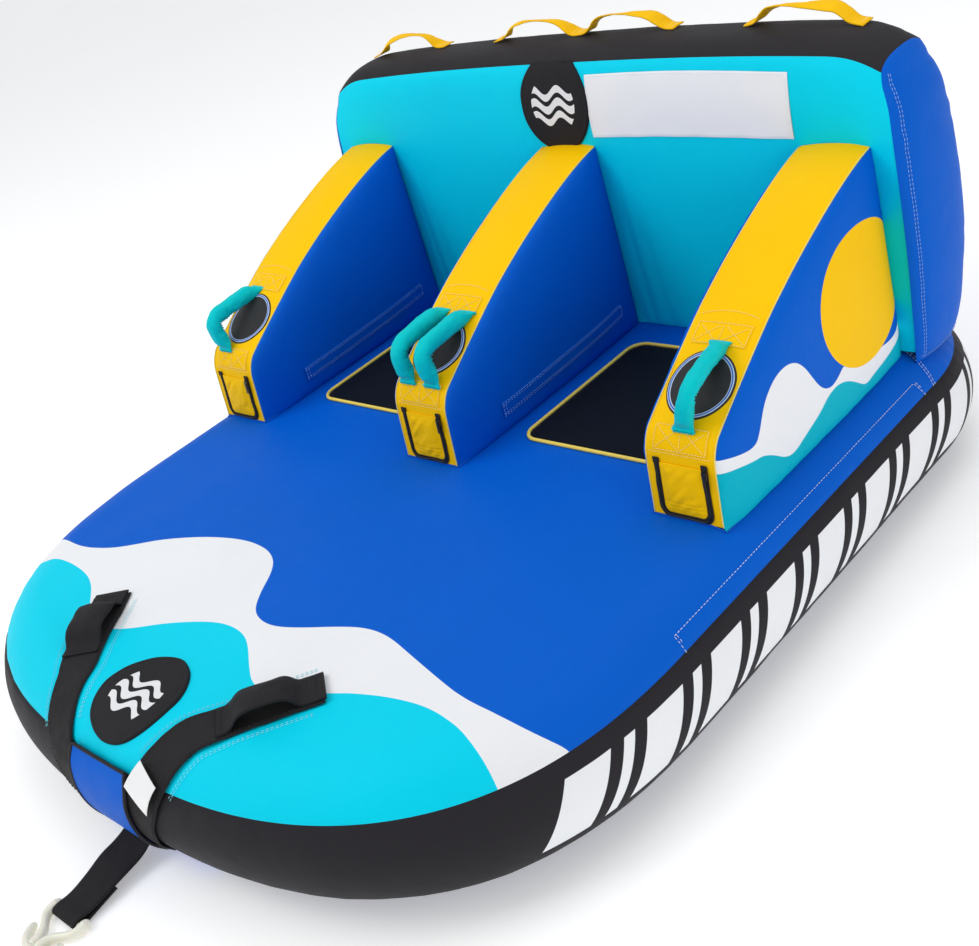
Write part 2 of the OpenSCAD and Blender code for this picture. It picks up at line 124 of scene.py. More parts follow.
def dist_poly(p, Q, closed=False):
    """Distance from 2-D points p (n,2) to polyline Q."""
    if closed:
        Q = np.vstack([Q, Q[:1]])
    best = np.full(len(p), 1e9)
    for a, b in zip(Q[:-1], Q[1:]):
        d = b - a
        t = np.clip(((p - a) @ d) / max(d @ d, 1e-12), 0, 1)
        best = np.minimum(best, np.linalg.norm(p - (a + t[:, None] * d), axis=1))
    return best


def inside(p, Q):
    x, y = p[:, 0], p[:, 1]
    r = np.zeros(len(p), bool)
    for (x0, y0), (x1, y1) in zip(Q, np.roll(Q, -1, 0)):
        c = (y0 > y) != (y1 > y)
        xx = x0 + (y - y0) * (x1 - x0) / (y1 - y0 if y1 != y0 else 1e-12)
        r ^= c & (x < xx)
    return r


def sd_poly(p, Q):
    """Signed distance, positive inside the closed polygon."""
    d = dist_poly(p, Q, True)
    return np.where(inside(p, Q), d, -d)


def membrane(P, H, power=0.55, free_edges=(), iters=500):
    """Bulge of a sheet held along its edges and blown out; P is a (n, m, k) grid. Top value H."""
    n, m = P.shape[:2]
    u = np.zeros((n, m))
    dx = np.linalg.norm(np.diff(P, axis=0), axis=2)
    dy = np.linalg.norm(np.diff(P, axis=1), axis=2)
    hx = np.zeros((n, m))
    hy = np.zeros((n, m))
    hx[1:-1] = (dx[1:] + dx[:-1]) / 2
    hy[:, 1:-1] = (dy[:, 1:] + dy[:, :-1]) / 2
    wx = 1 / np.maximum(hx[1:-1, 1:-1], 1e-4) ** 2
    wy = 1 / np.maximum(hy[1:-1, 1:-1], 1e-4) ** 2
    den = 2 * (wx + wy)
    om = 1.9
    ii, jj = np.meshgrid(np.arange(1, n - 1), np.arange(1, m - 1), indexing="ij")
    red = (ii + jj) % 2 == 0
    for k in range(iters):
        for c in (red, ~red):
            new = ((u[2:, 1:-1] + u[:-2, 1:-1]) * wx + (u[1:-1, 2:] + u[1:-1, :-2]) * wy + 1) / den
            inner = u[1:-1, 1:-1]
            inner[c] += (om * (new - inner))[c]
        for e in free_edges:
            if e == "u1":
                u[-1] = u[-2]
            if e == "u0":
                u[0] = u[1]
            if e == "v1":
                u[:, -1] = u[:, -2]
            if e == "v0":
                u[:, 0] = u[:, 1]
    u = np.maximum(u, 0)
    return H * (u / u.max()) ** power


# ---------------------------------------------------------------- meshes
def mesh_obj(name, V, F, mats, body="root", UV=None, midx=None, attrs=None, smooth=True, repl=None, slot=None):
    V = np.asarray(V, float) + SH
    me = bpy.data.meshes.new(name)
    me.from_pydata(V.tolist(), [], [list(map(int, f)) for f in F])
    if UV is not None:
        layer = me.uv_layers.new(name="weave")
        layer.data.foreach_set("uv", np.asarray(UV, np.float32).ravel())
    mats = mats if isinstance(mats, (list, tuple)) else [mats]
    for m in mats:
        me.materials.append(m)
    if midx is not None:
        me.polygons.foreach_set("material_index", np.asarray(midx, np.int32))
    me.polygons.foreach_set("use_smooth", [bool(smooth)] * len(me.polygons))
    for k, v in (attrs or {}).items():
        at = me.attributes.new(k, "FLOAT", "POINT")
        at.data.foreach_set("value", np.asarray(v, np.float32).ravel())
    me.update()
    o = bpy.data.objects.new(name, me)
    bpy.context.scene.collection.objects.link(o)
    if body:
        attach(o, body)
    if repl:
        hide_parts(*([repl] if isinstance(repl, str) else repl))
    return o


class Mesh:
    """Collects pieces of geometry into one mesh."""

    def __init__(self):
        self.V, self.F, self.UV, self.M, self.n = [], [], [], [], 0
        self.at = {}

    def add(self, V, F, UV=None, m=0, **at):
        V = np.asarray(V, float).reshape(-1, 3)
        for f in F:
            self.F.append([int(i) + self.n for i in f])
        k = sum(len(f) for f in F)
        if UV is None:
            UV = np.zeros((k, 2))
        self.UV.append(np.asarray(UV, float).reshape(-1, 2))
        self.M += [m] * len(F)
        for a in set(self.at) | set(at):
            self.at.setdefault(a, [np.zeros(self.n)])
            self.at[a].append(np.asarray(at.get(a, np.zeros(len(V))), float).ravel())
        self.V.append(V)
        self.n += len(V)

    def grid(self, P, cu=False, cv=False, uv=None, m=0, flip=False, keep=None, **at):
        """A grid of points (n, m, 3) as quads; cu or cv joins its ends; uv is in metres, one more row or column where it is joined."""
        n, k = P.shape[:2]
        I = np.arange(n * k).reshape(n, k)
        a = I if not cu else np.vstack([I, I[:1]])
        a = a if not cv else np.hstack([a, a[:, :1]])
        q = np.stack([a[:-1, :-1], a[1:, :-1], a[1:, 1:], a[:-1, 1:]], -1).reshape(-1, 4)
        if uv is None:
            L = np.zeros(a.shape + (2,))
            PP = P if not cu else np.concatenate([P, P[:1]], 0)
            PP = PP if not cv else np.concatenate([PP, PP[:, :1]], 1)
            L[1:, :, 0] = np.cumsum(np.linalg.norm(np.diff(PP, axis=0), axis=2).mean(1, keepdims=True), 0)
            L[:, 1:, 1] = np.cumsum(np.linalg.norm(np.diff(PP, axis=1), axis=2).mean(0, keepdims=True), 1)
            uv = L
        u = np.stack([uv[:-1, :-1], uv[1:, :-1], uv[1:, 1:], uv[:-1, 1:]], 2).reshape(-1, 4, 2)
        if keep is not None:
            kk = keep.reshape(-1)
            q, u = q[kk], u[kk]
        if flip:
            q, u = q[:, ::-1], u[:, ::-1]
        self.add(P.reshape(-1, 3), q, u, m, **at)
        return self

    def build(self, name, mats, **kw):
        V = np.vstack(self.V)
        return mesh_obj(
            name, V, self.F, mats, UV=np.vstack(self.UV), midx=self.M,
            attrs={k: np.concatenate(v) for k, v in self.at.items()}, **kw,
        )


# ---------------------------------------------------------------- materials
def lin(c):
    c = A(c, float) / 255.0
    return tuple(np.where(c <= 0.04045, c / 12.92, ((c + 0.055) / 1.055) ** 2.4)) + (1.0,)


class Mat:
    def __init__(self, name):
        self.m = bpy.data.materials.new(name)
        self.m.use_nodes = True
        self.t = self.m.node_tree
        self.t.nodes.clear()
        self.out = self.n("ShaderNodeOutputMaterial")
        self.p = self.n("ShaderNodeBsdfPrincipled")
        self.link(self.p.outputs[0], self.out.inputs[0])

    def n(self, kind, **kw):
        x = self.t.nodes.new(kind)
        for k, v in kw.items():
            setattr(x, k, v)
        return x

    def link(self, a, b):
        self.t.links.new(a, b)

    def put(self, value, socket):
        if hasattr(value, "is_output"):
            self.link(value, socket)
        else:
            socket.default_value = value

    def math(self, op, a, b=None, c=None, clamp=False):
        x = self.n("ShaderNodeMath", operation=op, use_clamp=clamp)
        for k, v in enumerate((a, b, c)):
            if v is not None:
                self.put(v, x.inputs[k])
        return x.outputs[0]

    def mix(self, f, a, b):
        x = self.n("ShaderNodeMix", data_type="RGBA")
        self.put(f, x.inputs[0])
        self.put(a, x.inputs[6])
        self.put(b, x.inputs[7])
        return x.outputs[2]

    def attr(self, name):
        return self.n("ShaderNodeAttribute", attribute_type="GEOMETRY", attribute_name=name).outputs["Fac"]

    def uv(self):
        s = self.n("ShaderNodeSeparateXYZ")
        self.link(self.n("ShaderNodeUVMap", uv_map="weave").outputs[0], s.inputs[0])
        return s.outputs[0], s.outputs[1]

    def obj(self):
        return self.n("ShaderNodeTexCoord").outputs["Object"]

    def noise(self, vec, scale, detail=2.0, rough=0.5, dist=0.0):
        x = self.n("ShaderNodeTexNoise")
        if vec is not None:
            self.link(vec, x.inputs["Vector"])
        x.inputs["Scale"].default_value = scale
        x.inputs["Detail"].default_value = detail
        x.inputs["Roughness"].default_value = rough
        x.inputs["Distortion"].default_value = dist
        return x.outputs["Fac"]

    def edge(self, s, width=0.0005):
        """0 or 1 across a signed distance, with a thin soft border."""
        return self.math("MULTIPLY_ADD", s, 1.0 / width, 0.5, clamp=True)

    def shade(self, col, f, amount):
        """col made darker or lighter by f in 0..1."""
        x = self.n("ShaderNodeHueSaturation")
        self.put(self.math("MULTIPLY_ADD", f, amount, 1 - amount / 2), x.inputs["Value"])
        self.put(col, x.inputs["Color"])
        return x.outputs[0]

    def bumps(self, heights):
        prev = None
        for h, dist, strength in heights:
            b = self.n("ShaderNodeBump")
            b.inputs["Distance"].default_value = dist
            b.inputs["Strength"].default_value = strength
            self.link(h, b.inputs["Height"])
            if prev is not None:
                self.link(prev, b.inputs["Normal"])
            prev = b.outputs[0]
        self.link(prev, self.p.inputs["Normal"])


def weave_height(g, pitch, ribs=False):
    u, v = g.uv()
    k = TAU / pitch
    if ribs:
        a = g.math("SINE", g.math("MULTIPLY", u, k))
        b = g.math("SINE", g.math("MULTIPLY", v, k * 0.5))
        return g.math("MULTIPLY_ADD", b, 0.35, g.math("ABSOLUTE", a))
    a = g.math("SINE", g.math("MULTIPLY", u, k))
    b = g.math("SINE", g.math("MULTIPLY", v, k))
    return g.math("MULTIPLY", a, b)


def cloth(name, colour, prints=(), pitch=0.0016, rough=0.50, crinkle=1.0, sheen=0.0, spec=0.07, weave=0.5, extra=None):
    """Coated woven nylon. prints are (attribute, colour): colour shows where the attribute is above 0. extra(g, col) may draw more."""
    g = Mat(name)
    o = g.obj()
    col = g.n("ShaderNodeRGB").outputs[0]
    col.default_value = lin(colour)
    for at, c in prints:
        col = g.mix(g.edge(g.attr(at)), col, lin(c))
    if extra:
        col = extra(g, col)
    col = g.shade(col, g.noise(o, 5.0, 2.0), 0.07)
    col = g.shade(col, g.noise(o, 900.0, 1.0), 0.10)
    h = weave_height(g, pitch)
    col = g.shade(col, g.math("MULTIPLY_ADD", h, 0.5, 0.5), 0.07)
    g.link(col, g.p.inputs["Base Color"])
    g.put(g.math("MULTIPLY_ADD", g.noise(o, 22.0, 3.0), 0.16, rough - 0.08), g.p.inputs["Roughness"])
    g.p.inputs["Specular IOR Level"].default_value = spec
    g.p.inputs["Sheen Weight"].default_value = sheen
    g.p.inputs["Sheen Roughness"].default_value = 0.45
    g.bumps([
        (h, 0.00014, weave),
        (g.noise(o, 55.0, 4.0, 0.55, 0.6), 0.0016 * crinkle, 0.35),
        (g.noise(o, 14.0, 3.0, 0.5, 0.8), 0.004 * crinkle, 0.30),
    ])
    return g.m


def webbing(name, colour, pitch=0.0022, rough=0.66, sheen=0.03, spec=0.12):
    g = Mat(name)
    o = g.obj()
    h = weave_height(g, pitch, True)
    col = g.n("ShaderNodeRGB").outputs[0]
    col.default_value = lin(colour)
    col = g.shade(col, g.noise(o, 12.0, 3.0), 0.22)
    col = g.shade(col, h, 0.30)
    col = g.shade(col, g.noise(o, 1200.0, 1.0), 0.2)
    g.link(col, g.p.inputs["Base Color"])
    g.put(g.math("MULTIPLY_ADD", g.noise(o, 60.0, 2.0), 0.2, rough - 0.1), g.p.inputs["Roughness"])
    g.p.inputs["Specular IOR Level"].default_value = spec
    g.p.inputs["Sheen Weight"].default_value = sheen
    g.bumps([(h, 0.0004, 0.8), (g.noise(o, 70.0, 3.0), 0.0012, 0.35)])
    return g.m


def thread(name, colour):
    g = Mat(name)
    o = g.obj()
    col = g.n("ShaderNodeRGB").outputs[0]
    col.default_value = lin(colour)
    f = g.noise(o, 700.0, 2.0)
    g.link(g.shade(col, f, 0.25), g.p.inputs["Base Color"])
    g.p.inputs["Roughness"].default_value = 0.6
    g.p.inputs["Sheen Weight"].default_value = 0.04
    g.bumps([(f, 0.0003, 0.5)])
    return g.m


def plastic(name, colour, rough=0.35, grain=0.0002, spec=0.5, coat=0.0, sss=0.0):
    g = Mat(name)
    o = g.obj()
    col = g.n("ShaderNodeRGB").outputs[0]
    col.default_value = lin(colour)
    g.link(g.shade(col, g.noise(o, 30.0, 3.0), 0.10), g.p.inputs["Base Color"])
    g.put(g.math("MULTIPLY_ADD", g.noise(o, 120.0, 3.0), 0.25, rough - 0.12), g.p.inputs["Roughness"])
    g.p.inputs["Specular IOR Level"].default_value = spec
    g.p.inputs["Coat Weight"].default_value = coat
    if sss:
        g.p.inputs["Subsurface Weight"].default_value = sss
        g.p.inputs["Subsurface Scale"].default_value = 0.004
    g.bumps([(g.noise(o, 500.0, 2.0), grain, 0.4), (g.noise(o, 90.0, 2.0), grain * 3, 0.25)])
    return g.m


BLUE, CYAN, GOLD, BLACK, WHITE = (0, 94, 204), (0, 212, 238), (255, 200, 0), (42, 40, 44), (238, 239, 242)
m_blue = cloth("nylon_blue", BLUE)
m_gold = cloth("nylon_gold", GOLD)
m_navy = cloth("nylon_navy", (12, 34, 88))
m_cyan = cloth("nylon_cyan", CYAN)
m_black = cloth("nylon_black", (46, 44, 47), rough=0.55, sheen=0.02)
m_deck = cloth("nylon_deck_print", BLUE, [("print_white", WHITE), ("print_cyan", CYAN)])
m_arm_print = cloth("nylon_arm_print", BLUE, [("print_white", WHITE), ("print_cyan", (0, 180, 200)), ("print_gold", GOLD)])
m_thread = thread("thread_white", (232, 238, 245))
m_thread_blue = thread("thread_pale_blue", (150, 188, 238))
m_thread_gold = thread("thread_gold", (255, 236, 150))
m_thread_dark = thread("thread_dark", (30, 30, 34))
# piping cord: its tint, paler than the gold cloth, is a painted highlight along the sewn edges
m_piping_painted_highlight = cloth("piping_gold_painted_highlight", (252, 222, 104), pitch=0.0012, crinkle=0.5)
m_pad = cloth("pad_black", (15, 19, 28), pitch=0.0026, rough=0.62, sheen=0.02, weave=0.9)
m_web_black = webbing("webbing_black", (36, 35, 37))
m_web_gold = webbing("webbing_gold", (255, 196, 10))
m_neo = cloth("neoprene_cyan", (0, 200, 205), pitch=0.0011, rough=0.6, crinkle=1.6, sheen=0.03)
m_web_cyan = webbing("webbing_cyan", (0, 180, 190))
m_cream = plastic("nylon_cream", (238, 236, 220), rough=0.38, coat=0.2, sss=0.15)
m_black_plastic = plastic("plastic_black", (24, 24, 26), rough=0.4)
m_pvc = plastic("pvc", (150, 160, 170), rough=0.32, coat=0.1)
m_film = plastic("film_white", (240, 240, 240), rough=0.4, grain=0.0001)

# CAD nodes that stay: their slots get the finished materials
KEEP = {
    "pvc_bladder": m_pvc, "zip_plastic": m_black_plastic, "valve_plastic": m_black_plastic, "cream_nylon": m_cream,
    "zip_tape": m_web_black, "blue_nylon": m_blue, "cyan_nylon": m_cyan, "gold_nylon": m_gold, "black_nylon": m_black,
    "pad_fabric": m_pad, "black_webbing": m_web_black, "gold_webbing": m_web_gold, "cyan_webbing": m_web_cyan,
    "cyan_neoprene": m_neo, "white_label": m_film,
}
for sp in frame["record"]["subparts"]:
    o = frame["nodes"][sp["node"]]
    o.data.materials.clear()
    o.data.materials.append(KEEP[sp["material_slot"]])


# ---------------------------------------------------------------- sewing helpers
def frames(P, up):
    """Tangent, side and up along a path; up is one vector or one per point."""
    T = unit(np.gradient(P, axis=0))
    U = np.broadcast_to(A(up, float), P.shape)
    S = unit(np.cross(T, U))
    return T, S, unit(np.cross(S, T))


def stitches(M, P, up, length=0.0055, gap=0.0022, w=0.0011, h=0.0009, lift=0.0003, m=0):
    """Rows of thread on a path P with surface normals up, added to Mesh M."""
    P = A(P, float)
    L = lengths(P)
    U = np.broadcast_to(A(up, float), P.shape)
    n = int(L[-1] // (length + gap))
    if n < 1:
        return
    at = np.arange(n) * (length + gap) + gap / 2
    for a in at:
        t = a + A([0, 0.18, 0.5, 0.82, 1]) * length
        p = np.stack([np.interp(t, L, P[:, k]) for k in range(3)], 1)
        u = unit(np.stack([np.interp(t, L, U[:, k]) for k in range(3)], 1))
        d = unit(p[-1] - p[0])
        s = unit(np.cross(d, u[2]))
        prof = A([0.25, 0.9, 1.0, 0.9, 0.25])
        base = A([-0.6, 0.1, 0.3, 0.1, -0.6])
        V = []
        for k in range(5):
            c = p[k] + u[k] * (lift + base[k] * h)
            V += [c - s * w / 2 * prof[k], c + u[k] * h * prof[k], c + s * w / 2 * prof[k], c - u[k] * h * 0.3]
        F = []
        for k in range(4):
            for j in range(4):
                a0, b0 = 4 * k + j, 4 * k + (j + 1) % 4
                F.append([a0, b0, b0 + 4, a0 + 4])
        F += [[3, 2, 1, 0], [16, 17, 18, 19]]
        M.add(V, F, m=m)


def tube(M, P, r, sides=8, closed=False, m=0, up=(0, 0, 1), flat=1.0, caps=True):
    """A cord along P; r may vary along it; flat squeezes it along up."""
    P = A(P, float)
    n = len(P)
    if closed:
        T = unit(np.roll(P, -1, 0) - np.roll(P, 1, 0))
        U0 = np.broadcast_to(A(up, float), P.shape)
        S = unit(np.cross(T, U0))
        U = unit(np.cross(S, T))
    else:
        T, S, U = frames(P, up)
    r = np.broadcast_to(A(r, float), (n,))
    a = np.arange(sides) * TAU / sides
    G = P[:, None] + r[:, None, None] * (S[:, None] * np.cos(a)[None, :, None] + U[:, None] * np.sin(a)[None, :, None] * flat)
    M.grid(G, cu=closed, cv=True, m=m)
    if not closed and caps:
        base = M.n - n * sides
        M.F.append([base + j for j in range(sides)])
        M.F.append([base + (n - 1) * sides + sides - 1 - j for j in range(sides)])
        M.UV.append(np.zeros((2 * sides, 2)))
        M.M += [m, m]


def strip(M, P, up, half, t, m=0, edge_m=None, lift=0.0, crown=0.0, nx=8, ends=True, wave=None):
    """A flat band along P with rounded edges: half width (may vary), thickness t, on its surface at lift."""
    P = A(P, float)
    T, S, U = frames(P, up)
    n = len(P)
    half = np.broadcast_to(A(half, float), (n,))
    lift = np.broadcast_to(A(lift, float), (n,))
    e = min(0.45 * t, 0.002)
    xs = np.r_[-1, np.linspace(-1, 1, nx + 1), 1]
    L = lengths(P)
    top, bot = [], []
    for x in np.linspace(-1, 1, nx + 1):
        inset = 1.0
        w = wave(L, x) if wave is not None else 0.0
        top.append(P + S * (half * x * inset)[:, None] + U * (lift + t + crown * (1 - x * x) + w)[:, None])
        bot.append(P + S * (half * x * inset)[:, None] + U * (lift + w)[:, None])
    top, bot = np.stack(top, 1), np.stack(bot, 1)
    # round the two long edges
    sL = P + S * (-(half + e))[:, None] + U * (lift + t / 2 + (wave(L, -1.0) if wave is not None else 0.0))[:, None]
    sR = P + S * ((half + e))[:, None] + U * (lift + t / 2 + (wave(L, 1.0) if wave is not None else 0.0))[:, None]
    ring = np.concatenate([top, sR[:, None], bot[:, ::-1], sL[:, None]], 1)
    k = ring.shape[1]
    M.grid(ring, cv=True, m=m, flip=True)
    if ends:
        base = M.n - n * k
        M.F.append([base + j for j in range(k)])
        M.F.append([base + (n - 1) * k + k - 1 - j for j in range(k)])
        M.UV.append(np.zeros((2 * k, 2)))
        M.M += [m, m]


# ---------------------------------------------------------------- deck
HWD, RR, SF, NL, NSQ, DR, RC = 0.76, 0.13, -0.2, 0.64, 2.6, 0.9, 0.32


def outline(n):
    k = np.linspace(0, 1, 4001)
    t = np.radians(90 * (1 - (3 * k * k - 2 * k**3)))
    c, s = np.maximum(np.cos(t), 0), np.maximum(np.sin(t), 0)
    kk = 2 * (NSQ - 1) / NSQ
    P = np.stack([HWD * c ** (2 / NSQ), SF - NL * s ** (2 / NSQ)], 1)
    Q = unit(np.stack([c**kk / HWD, -(s**kk) / NL], 1))
    ys = np.linspace(SF, DR - RC, 200)[1:-1]
    P = np.vstack([P, np.stack([ys * 0 + HWD, ys], 1)])
    Q = np.vstack([Q, np.stack([ys * 0 + 1, ys * 0], 1)])
    a = np.radians(np.linspace(0, 90, 200))
    P = np.vstack([P, np.stack([HWD - RC + RC * np.cos(a), DR - RC + RC * np.sin(a)], 1)])
    Q = np.vstack([Q, np.stack([np.cos(a), np.sin(a)], 1)])
    xs = np.linspace(HWD - RC, 0, 100)[1:]
    P = np.vstack([P, np.stack([xs, xs * 0 + DR], 1)])
    Q = np.vstack([Q, np.stack([xs * 0, xs * 0 + 1], 1)])
    L = lengths(P)
    q = np.linspace(0, L[-1], n // 2 + 1)
    R = np.stack([np.interp(q, L, P[:, 0]), np.interp(q, L, P[:, 1])], 1)
    N = unit(np.stack([np.interp(q, L, Q[:, 0]), np.interp(q, L, Q[:, 1])], 1))
    LR = R[::-1] * [-1, 1]
    LN = N[::-1] * [-1, 1]
    return np.vstack([LR[:-1], R[:-1]]), np.vstack([LN[:-1], N[:-1]]), np.r_[-q[::-1][:-1], q[:-1]]


NCOL = 960
OP, ON, OL = outline(NCOL)  # outline points, outward normals, arc length from the nose tip
A_SEAM1, A_SEAM2 = RR * math.radians(90 - 35.5), RR * math.radians(90 + 50)


def smooth(x, a, b):
    t = np.clip((x - a) / (b - a), 0, 1)
    return t * t * (3 - 2 * t)


def top_z(x, y):
    """Height of the deck's top cloth over its flat plane."""
    x, y = np.asarray(x, float), np.asarray(y, float)
    q = np.stack([x.ravel(), y.ravel(), 0 * x.ravel()], 1)
    front = 1 - smooth(y, -0.12, 0.0)
    w = 0.0022 * vnoise(q * 5.0, 3).reshape(x.shape) + 0.0009 * vnoise(q * A([14, 9, 1]), 5).reshape(x.shape)
    return np.maximum(front * w - 0.0004, -0.0024)


def skin_pt(P2, N2, L, v, top=True):
    """Points of the rounded edge: outline rows P2, N2, L (n,), edge angles v (m,) in degrees -> (n, m, 3)."""
    v = np.radians(A(v, float))[None, :]
    n = len(P2)
    a = RR * (math.pi / 2 - v)
    LL = np.broadcast_to(L[:, None], (n, v.shape[1]))
    aa = np.broadcast_to(a, LL.shape)
    shp = LL.shape

    def nz(sx, sy, seed):
        return vnoise(np.stack([(LL / sx).ravel(), (aa / sy).ravel(), np.full(LL.size, 0.5)], 1), seed).reshape(shp)

    d = np.zeros(shp)
    for a0, k in ((A_SEAM1, 1.0), (A_SEAM2, 0.8)):
        g = np.abs(aa - a0)
        d -= k * 0.0026 * np.exp(-((g / 0.0038) ** 2))
        d -= k * 0.0016 * np.exp(-g / 0.016) * (0.6 + 0.8 * nz(0.017, 0.5, 11))
        d += k * 0.0014 * np.exp(-g / 0.030) * nz(0.026, 0.09, 12) * smooth(g, 0.001, 0.008)
    d += 0.0018 * nz(0.30, 0.12, 13) + 0.0008 * nz(0.09, 0.06, 14)
    d = np.maximum(d, -0.0027)
    d *= smooth(aa, 0.0, 0.03)
    d -= 0.0004
    r = RR + d
    cx = P2[:, None] - N2[:, None] * RR
    out = np.zeros(shp + (3,))
    out[..., :2] = cx + N2[:, None] * (r * np.cos(v))[..., None]
    out[..., 2] = -RR + r * np.sin(v)
    lift = smooth(aa, 0.09, 0.0)
    out[..., 2] += lift * (top_z(out[..., 0], out[..., 1]) + 0.0004) * (1 if top else 0)
    return out


# print curves in plan: (x, y) of blue/white and of white/cyan, nose side below the curve
C1 = A([(-0.80, -0.44), (-0.70, -0.468), (-.621, -.481), (-.541, -.484), (-.473, -.467), (-.424, -.436), (-.361, -.393), (-.273, -.355),
        (-.196, -.334), (-.124, -.335), (-.075, -.353), (-.044, -.385), (-.018, -.433), (.014, -.474), (.052, -.49),
        (.092, -.491), (.141, -.474), (.207, -.444), (.259, -.426), (.314, -.427), (.385, -.447), (.463, -.468),
        (.532, -.485), (.612, -.49), (.671, -.48), (.712, -.458), (.80, -.42)])
C2 = A([(-0.80, -0.50), (-0.66, -0.553), (-.587, -.544), (-.581, -.534), (-.526, -.528), (-.45, -.537), (-.398, -.554), (-.354, -.584),
        (-.30, -.625), (-.234, -.632), (-.187, -.612), (-.124, -.569), (-.053, -.535), (-.006, -.522), (.042, -.525), (.08, -.54),
        (.139, -.585), (.177, -.609), (.24, -.615), (.28, -.592), (.314, -.569), (.369, -.545), (.44, -.528), (.502, -.523), (.565, -.533),
        (.611, -.547), (.643, -.559), (.661, -.569), (.72, -.60), (.80, -.64)])


def print_curves(C):
    P = curve(C, 0.004, smooth=2)
    return P


PC1, PC2 = print_curves(C1), print_curves(C2)


def nose_side(p, C):
    """Signed distance, positive on the nose side of a curve whose x grows."""
    d = dist_poly(p, C[:: 3])
    y = np.interp(p[:, 0], C[:, 0], C[:, 1])
    return np.where(p[:, 1] < y, d, -d)


def deck_prints(V):
    w, c = nose_side(V[:, :2], PC1), nose_side(V[:, :2], PC2)
    near = (np.abs(w) < 0.03) | (np.abs(c) < 0.03)
    return w, c


def ring_fill(M, z_sign, m=0, prints=False):
    """The flat middle of the deck, from the ring at edge angle 90 in to the centre line."""
    rings = 64
    base = OP - ON * RR
    spine = np.stack([np.zeros(len(base)), np.clip(base[:, 1], -0.42, 0.52)], 1)
    rho = 1 - np.linspace(0, 1, rings + 1)
    G = spine[:, None] + rho[None, :, None] * (base - spine)[:, None]
    z = top_z(G[..., 0], G[..., 1]) if z_sign > 0 else np.full(G.shape[:2], -2 * RR)
    P = np.concatenate([G, z[..., None]], 2)
    uv = P[..., :2]
    uv = np.concatenate([uv, uv[:1]], 0)
    at = {}
    if prints:
        w, c = deck_prints(P.reshape(-1, 3))
        at = dict(print_white=w, print_cyan=c)
    M.grid(P, cu=True, uv=uv, m=m, flip=z_sign < 0, **at)


def weld(o, d=0.00005):
    import bmesh
    b = bmesh.new()
    b.from_mesh(o.data)
    bmesh.ops.remove_doubles(b, verts=b.verts, dist=d)
    bmesh.ops.dissolve_degenerate(b, dist=d / 2, edges=b.edges)
    b.to_mesh(o.data)
    b.free()
    o.data.update()


def edge_uv(v0, vs):
    uu = np.r_[OL, OL[-1] + (OL[1] - OL[0])]
    U = np.zeros((len(uu), len(vs), 2))
    U[..., 0] = uu[:, None]
    U[..., 1] = (RR * np.radians(90 - A(vs)))[None, :]
    return U


def build_deck():
    k = 1.0
    v1 = np.linspace(90, 35.5, int(22 * k))
    P = skin_pt(OP, ON, OL, v1)
    M = Mesh()
    w, c = deck_prints(P.reshape(-1, 3))
    M.grid(P, cu=True, uv=edge_uv(90, v1), flip=True, print_white=w, print_cyan=c)
    ring_fill(M, 1, prints=True)
    o = M.build("deck_top_cloth", m_deck, repl="deck_top_panel", slot="blue_nylon")
    weld(o)
    v2 = np.linspace(35.5, -50, int(44 * k))
    P = skin_pt(OP, ON, OL, v2)
    M = Mesh()
    M.grid(P, cu=True, uv=edge_uv(35.5, v2), flip=True)
    o = M.build("deck_side_cloth", m_band, repl="deck_side_band", slot="black_nylon")
    v3 = np.linspace(-50, -90, int(14 * k))
    P = skin_pt(OP, ON, OL, v3)
    P[..., 2] = np.maximum(P[..., 2], -2 * RR)
    M = Mesh()
    M.grid(P, cu=True, uv=edge_uv(-50, v3), flip=True)
    ring_fill(M, -1)
    o = M.build("deck_base_cloth", m_navy, repl="deck_bottom_panel", slot="blue_nylon")
    weld(o)


def band_extra(g, col):
    """Plain white bars in place of the maker's lettering, on both long sides."""
    u, v = g.uv()
    au = g.math("ABSOLUTE", u)
    h = g.math("SUBTRACT", v, BAND[1])          # down from the bars' upper edge
    s = g.math("SUBTRACT", g.math("MULTIPLY_ADD", h, 0.62, au), BAND[0])
    total = None
    for a, b, top, low in BARS:
        x = g.math("MULTIPLY", g.edge(g.math("SUBTRACT", s, a), 0.0008), g.edge(g.math("SUBTRACT", b, s), 0.0008))
        y = g.math("MULTIPLY", g.edge(g.math("SUBTRACT", h, top), 0.0008), g.edge(g.math("SUBTRACT", low, h), 0.0008))
        x = g.math("MULTIPLY", x, y)
        total = x if total is None else g.math("MAXIMUM", total, x)
    tall = 1.0
    return g.mix(g.math("MULTIPLY", total, tall), col, lin(WHITE))


L_STRAIGHT = float(np.interp(SF, OP[NCOL // 2 :, 1][: NCOL // 3], OL[NCOL // 2 :][: NCOL // 3]))
BAND = (L_STRAIGHT - 0.30, 0.153, 0.264)
BARS = []
_a = 0.0
for _k in range(9):
    # a wide slanted bar, then a thin one
    BARS.append((_a, _a + 0.082, 0.0, 0.108))
    _a += 0.082 + 0.026
    BARS.append((_a, _a + 0.022, 0.0, 0.108))
    _a += 0.022 + 0.026
m_band = cloth("nylon_band", BLACK, rough=0.56, sheen=0.02, extra=band_extra)
build_deck()


# ---------------------------------------------------------------- arms
ARM_X = {"left": -0.6, "centre": 0.0, "right": 0.6}
ARM_W = 0.0665
PROFILE = [(0, 0.0005), (0.012, 0.104), (0.016, 0.120), (0.026, 0.139), (0.040, 0.153), (0.205, 0.253), (0.270, 0.285),
           (0.330, 0.312), (0.420, 0.347), (0.490, 0.370), (0.545, 0.384), (0.582, 0.390)]
PP = curve(PROFILE, 0.001, smooth=2)
PL = lengths(PP)
S_END = float(PL[-1])
PT = unit(np.gradient(PP, axis=0))
PN = np.stack([-PT[:, 1], PT[:, 0]], 1)
PN[: 100] = unit(A([-0.1035, 0.012]))
S_SLOPE = float(np.interp(0.040, PP[:, 0], PL))  # where the slope's own frame begins


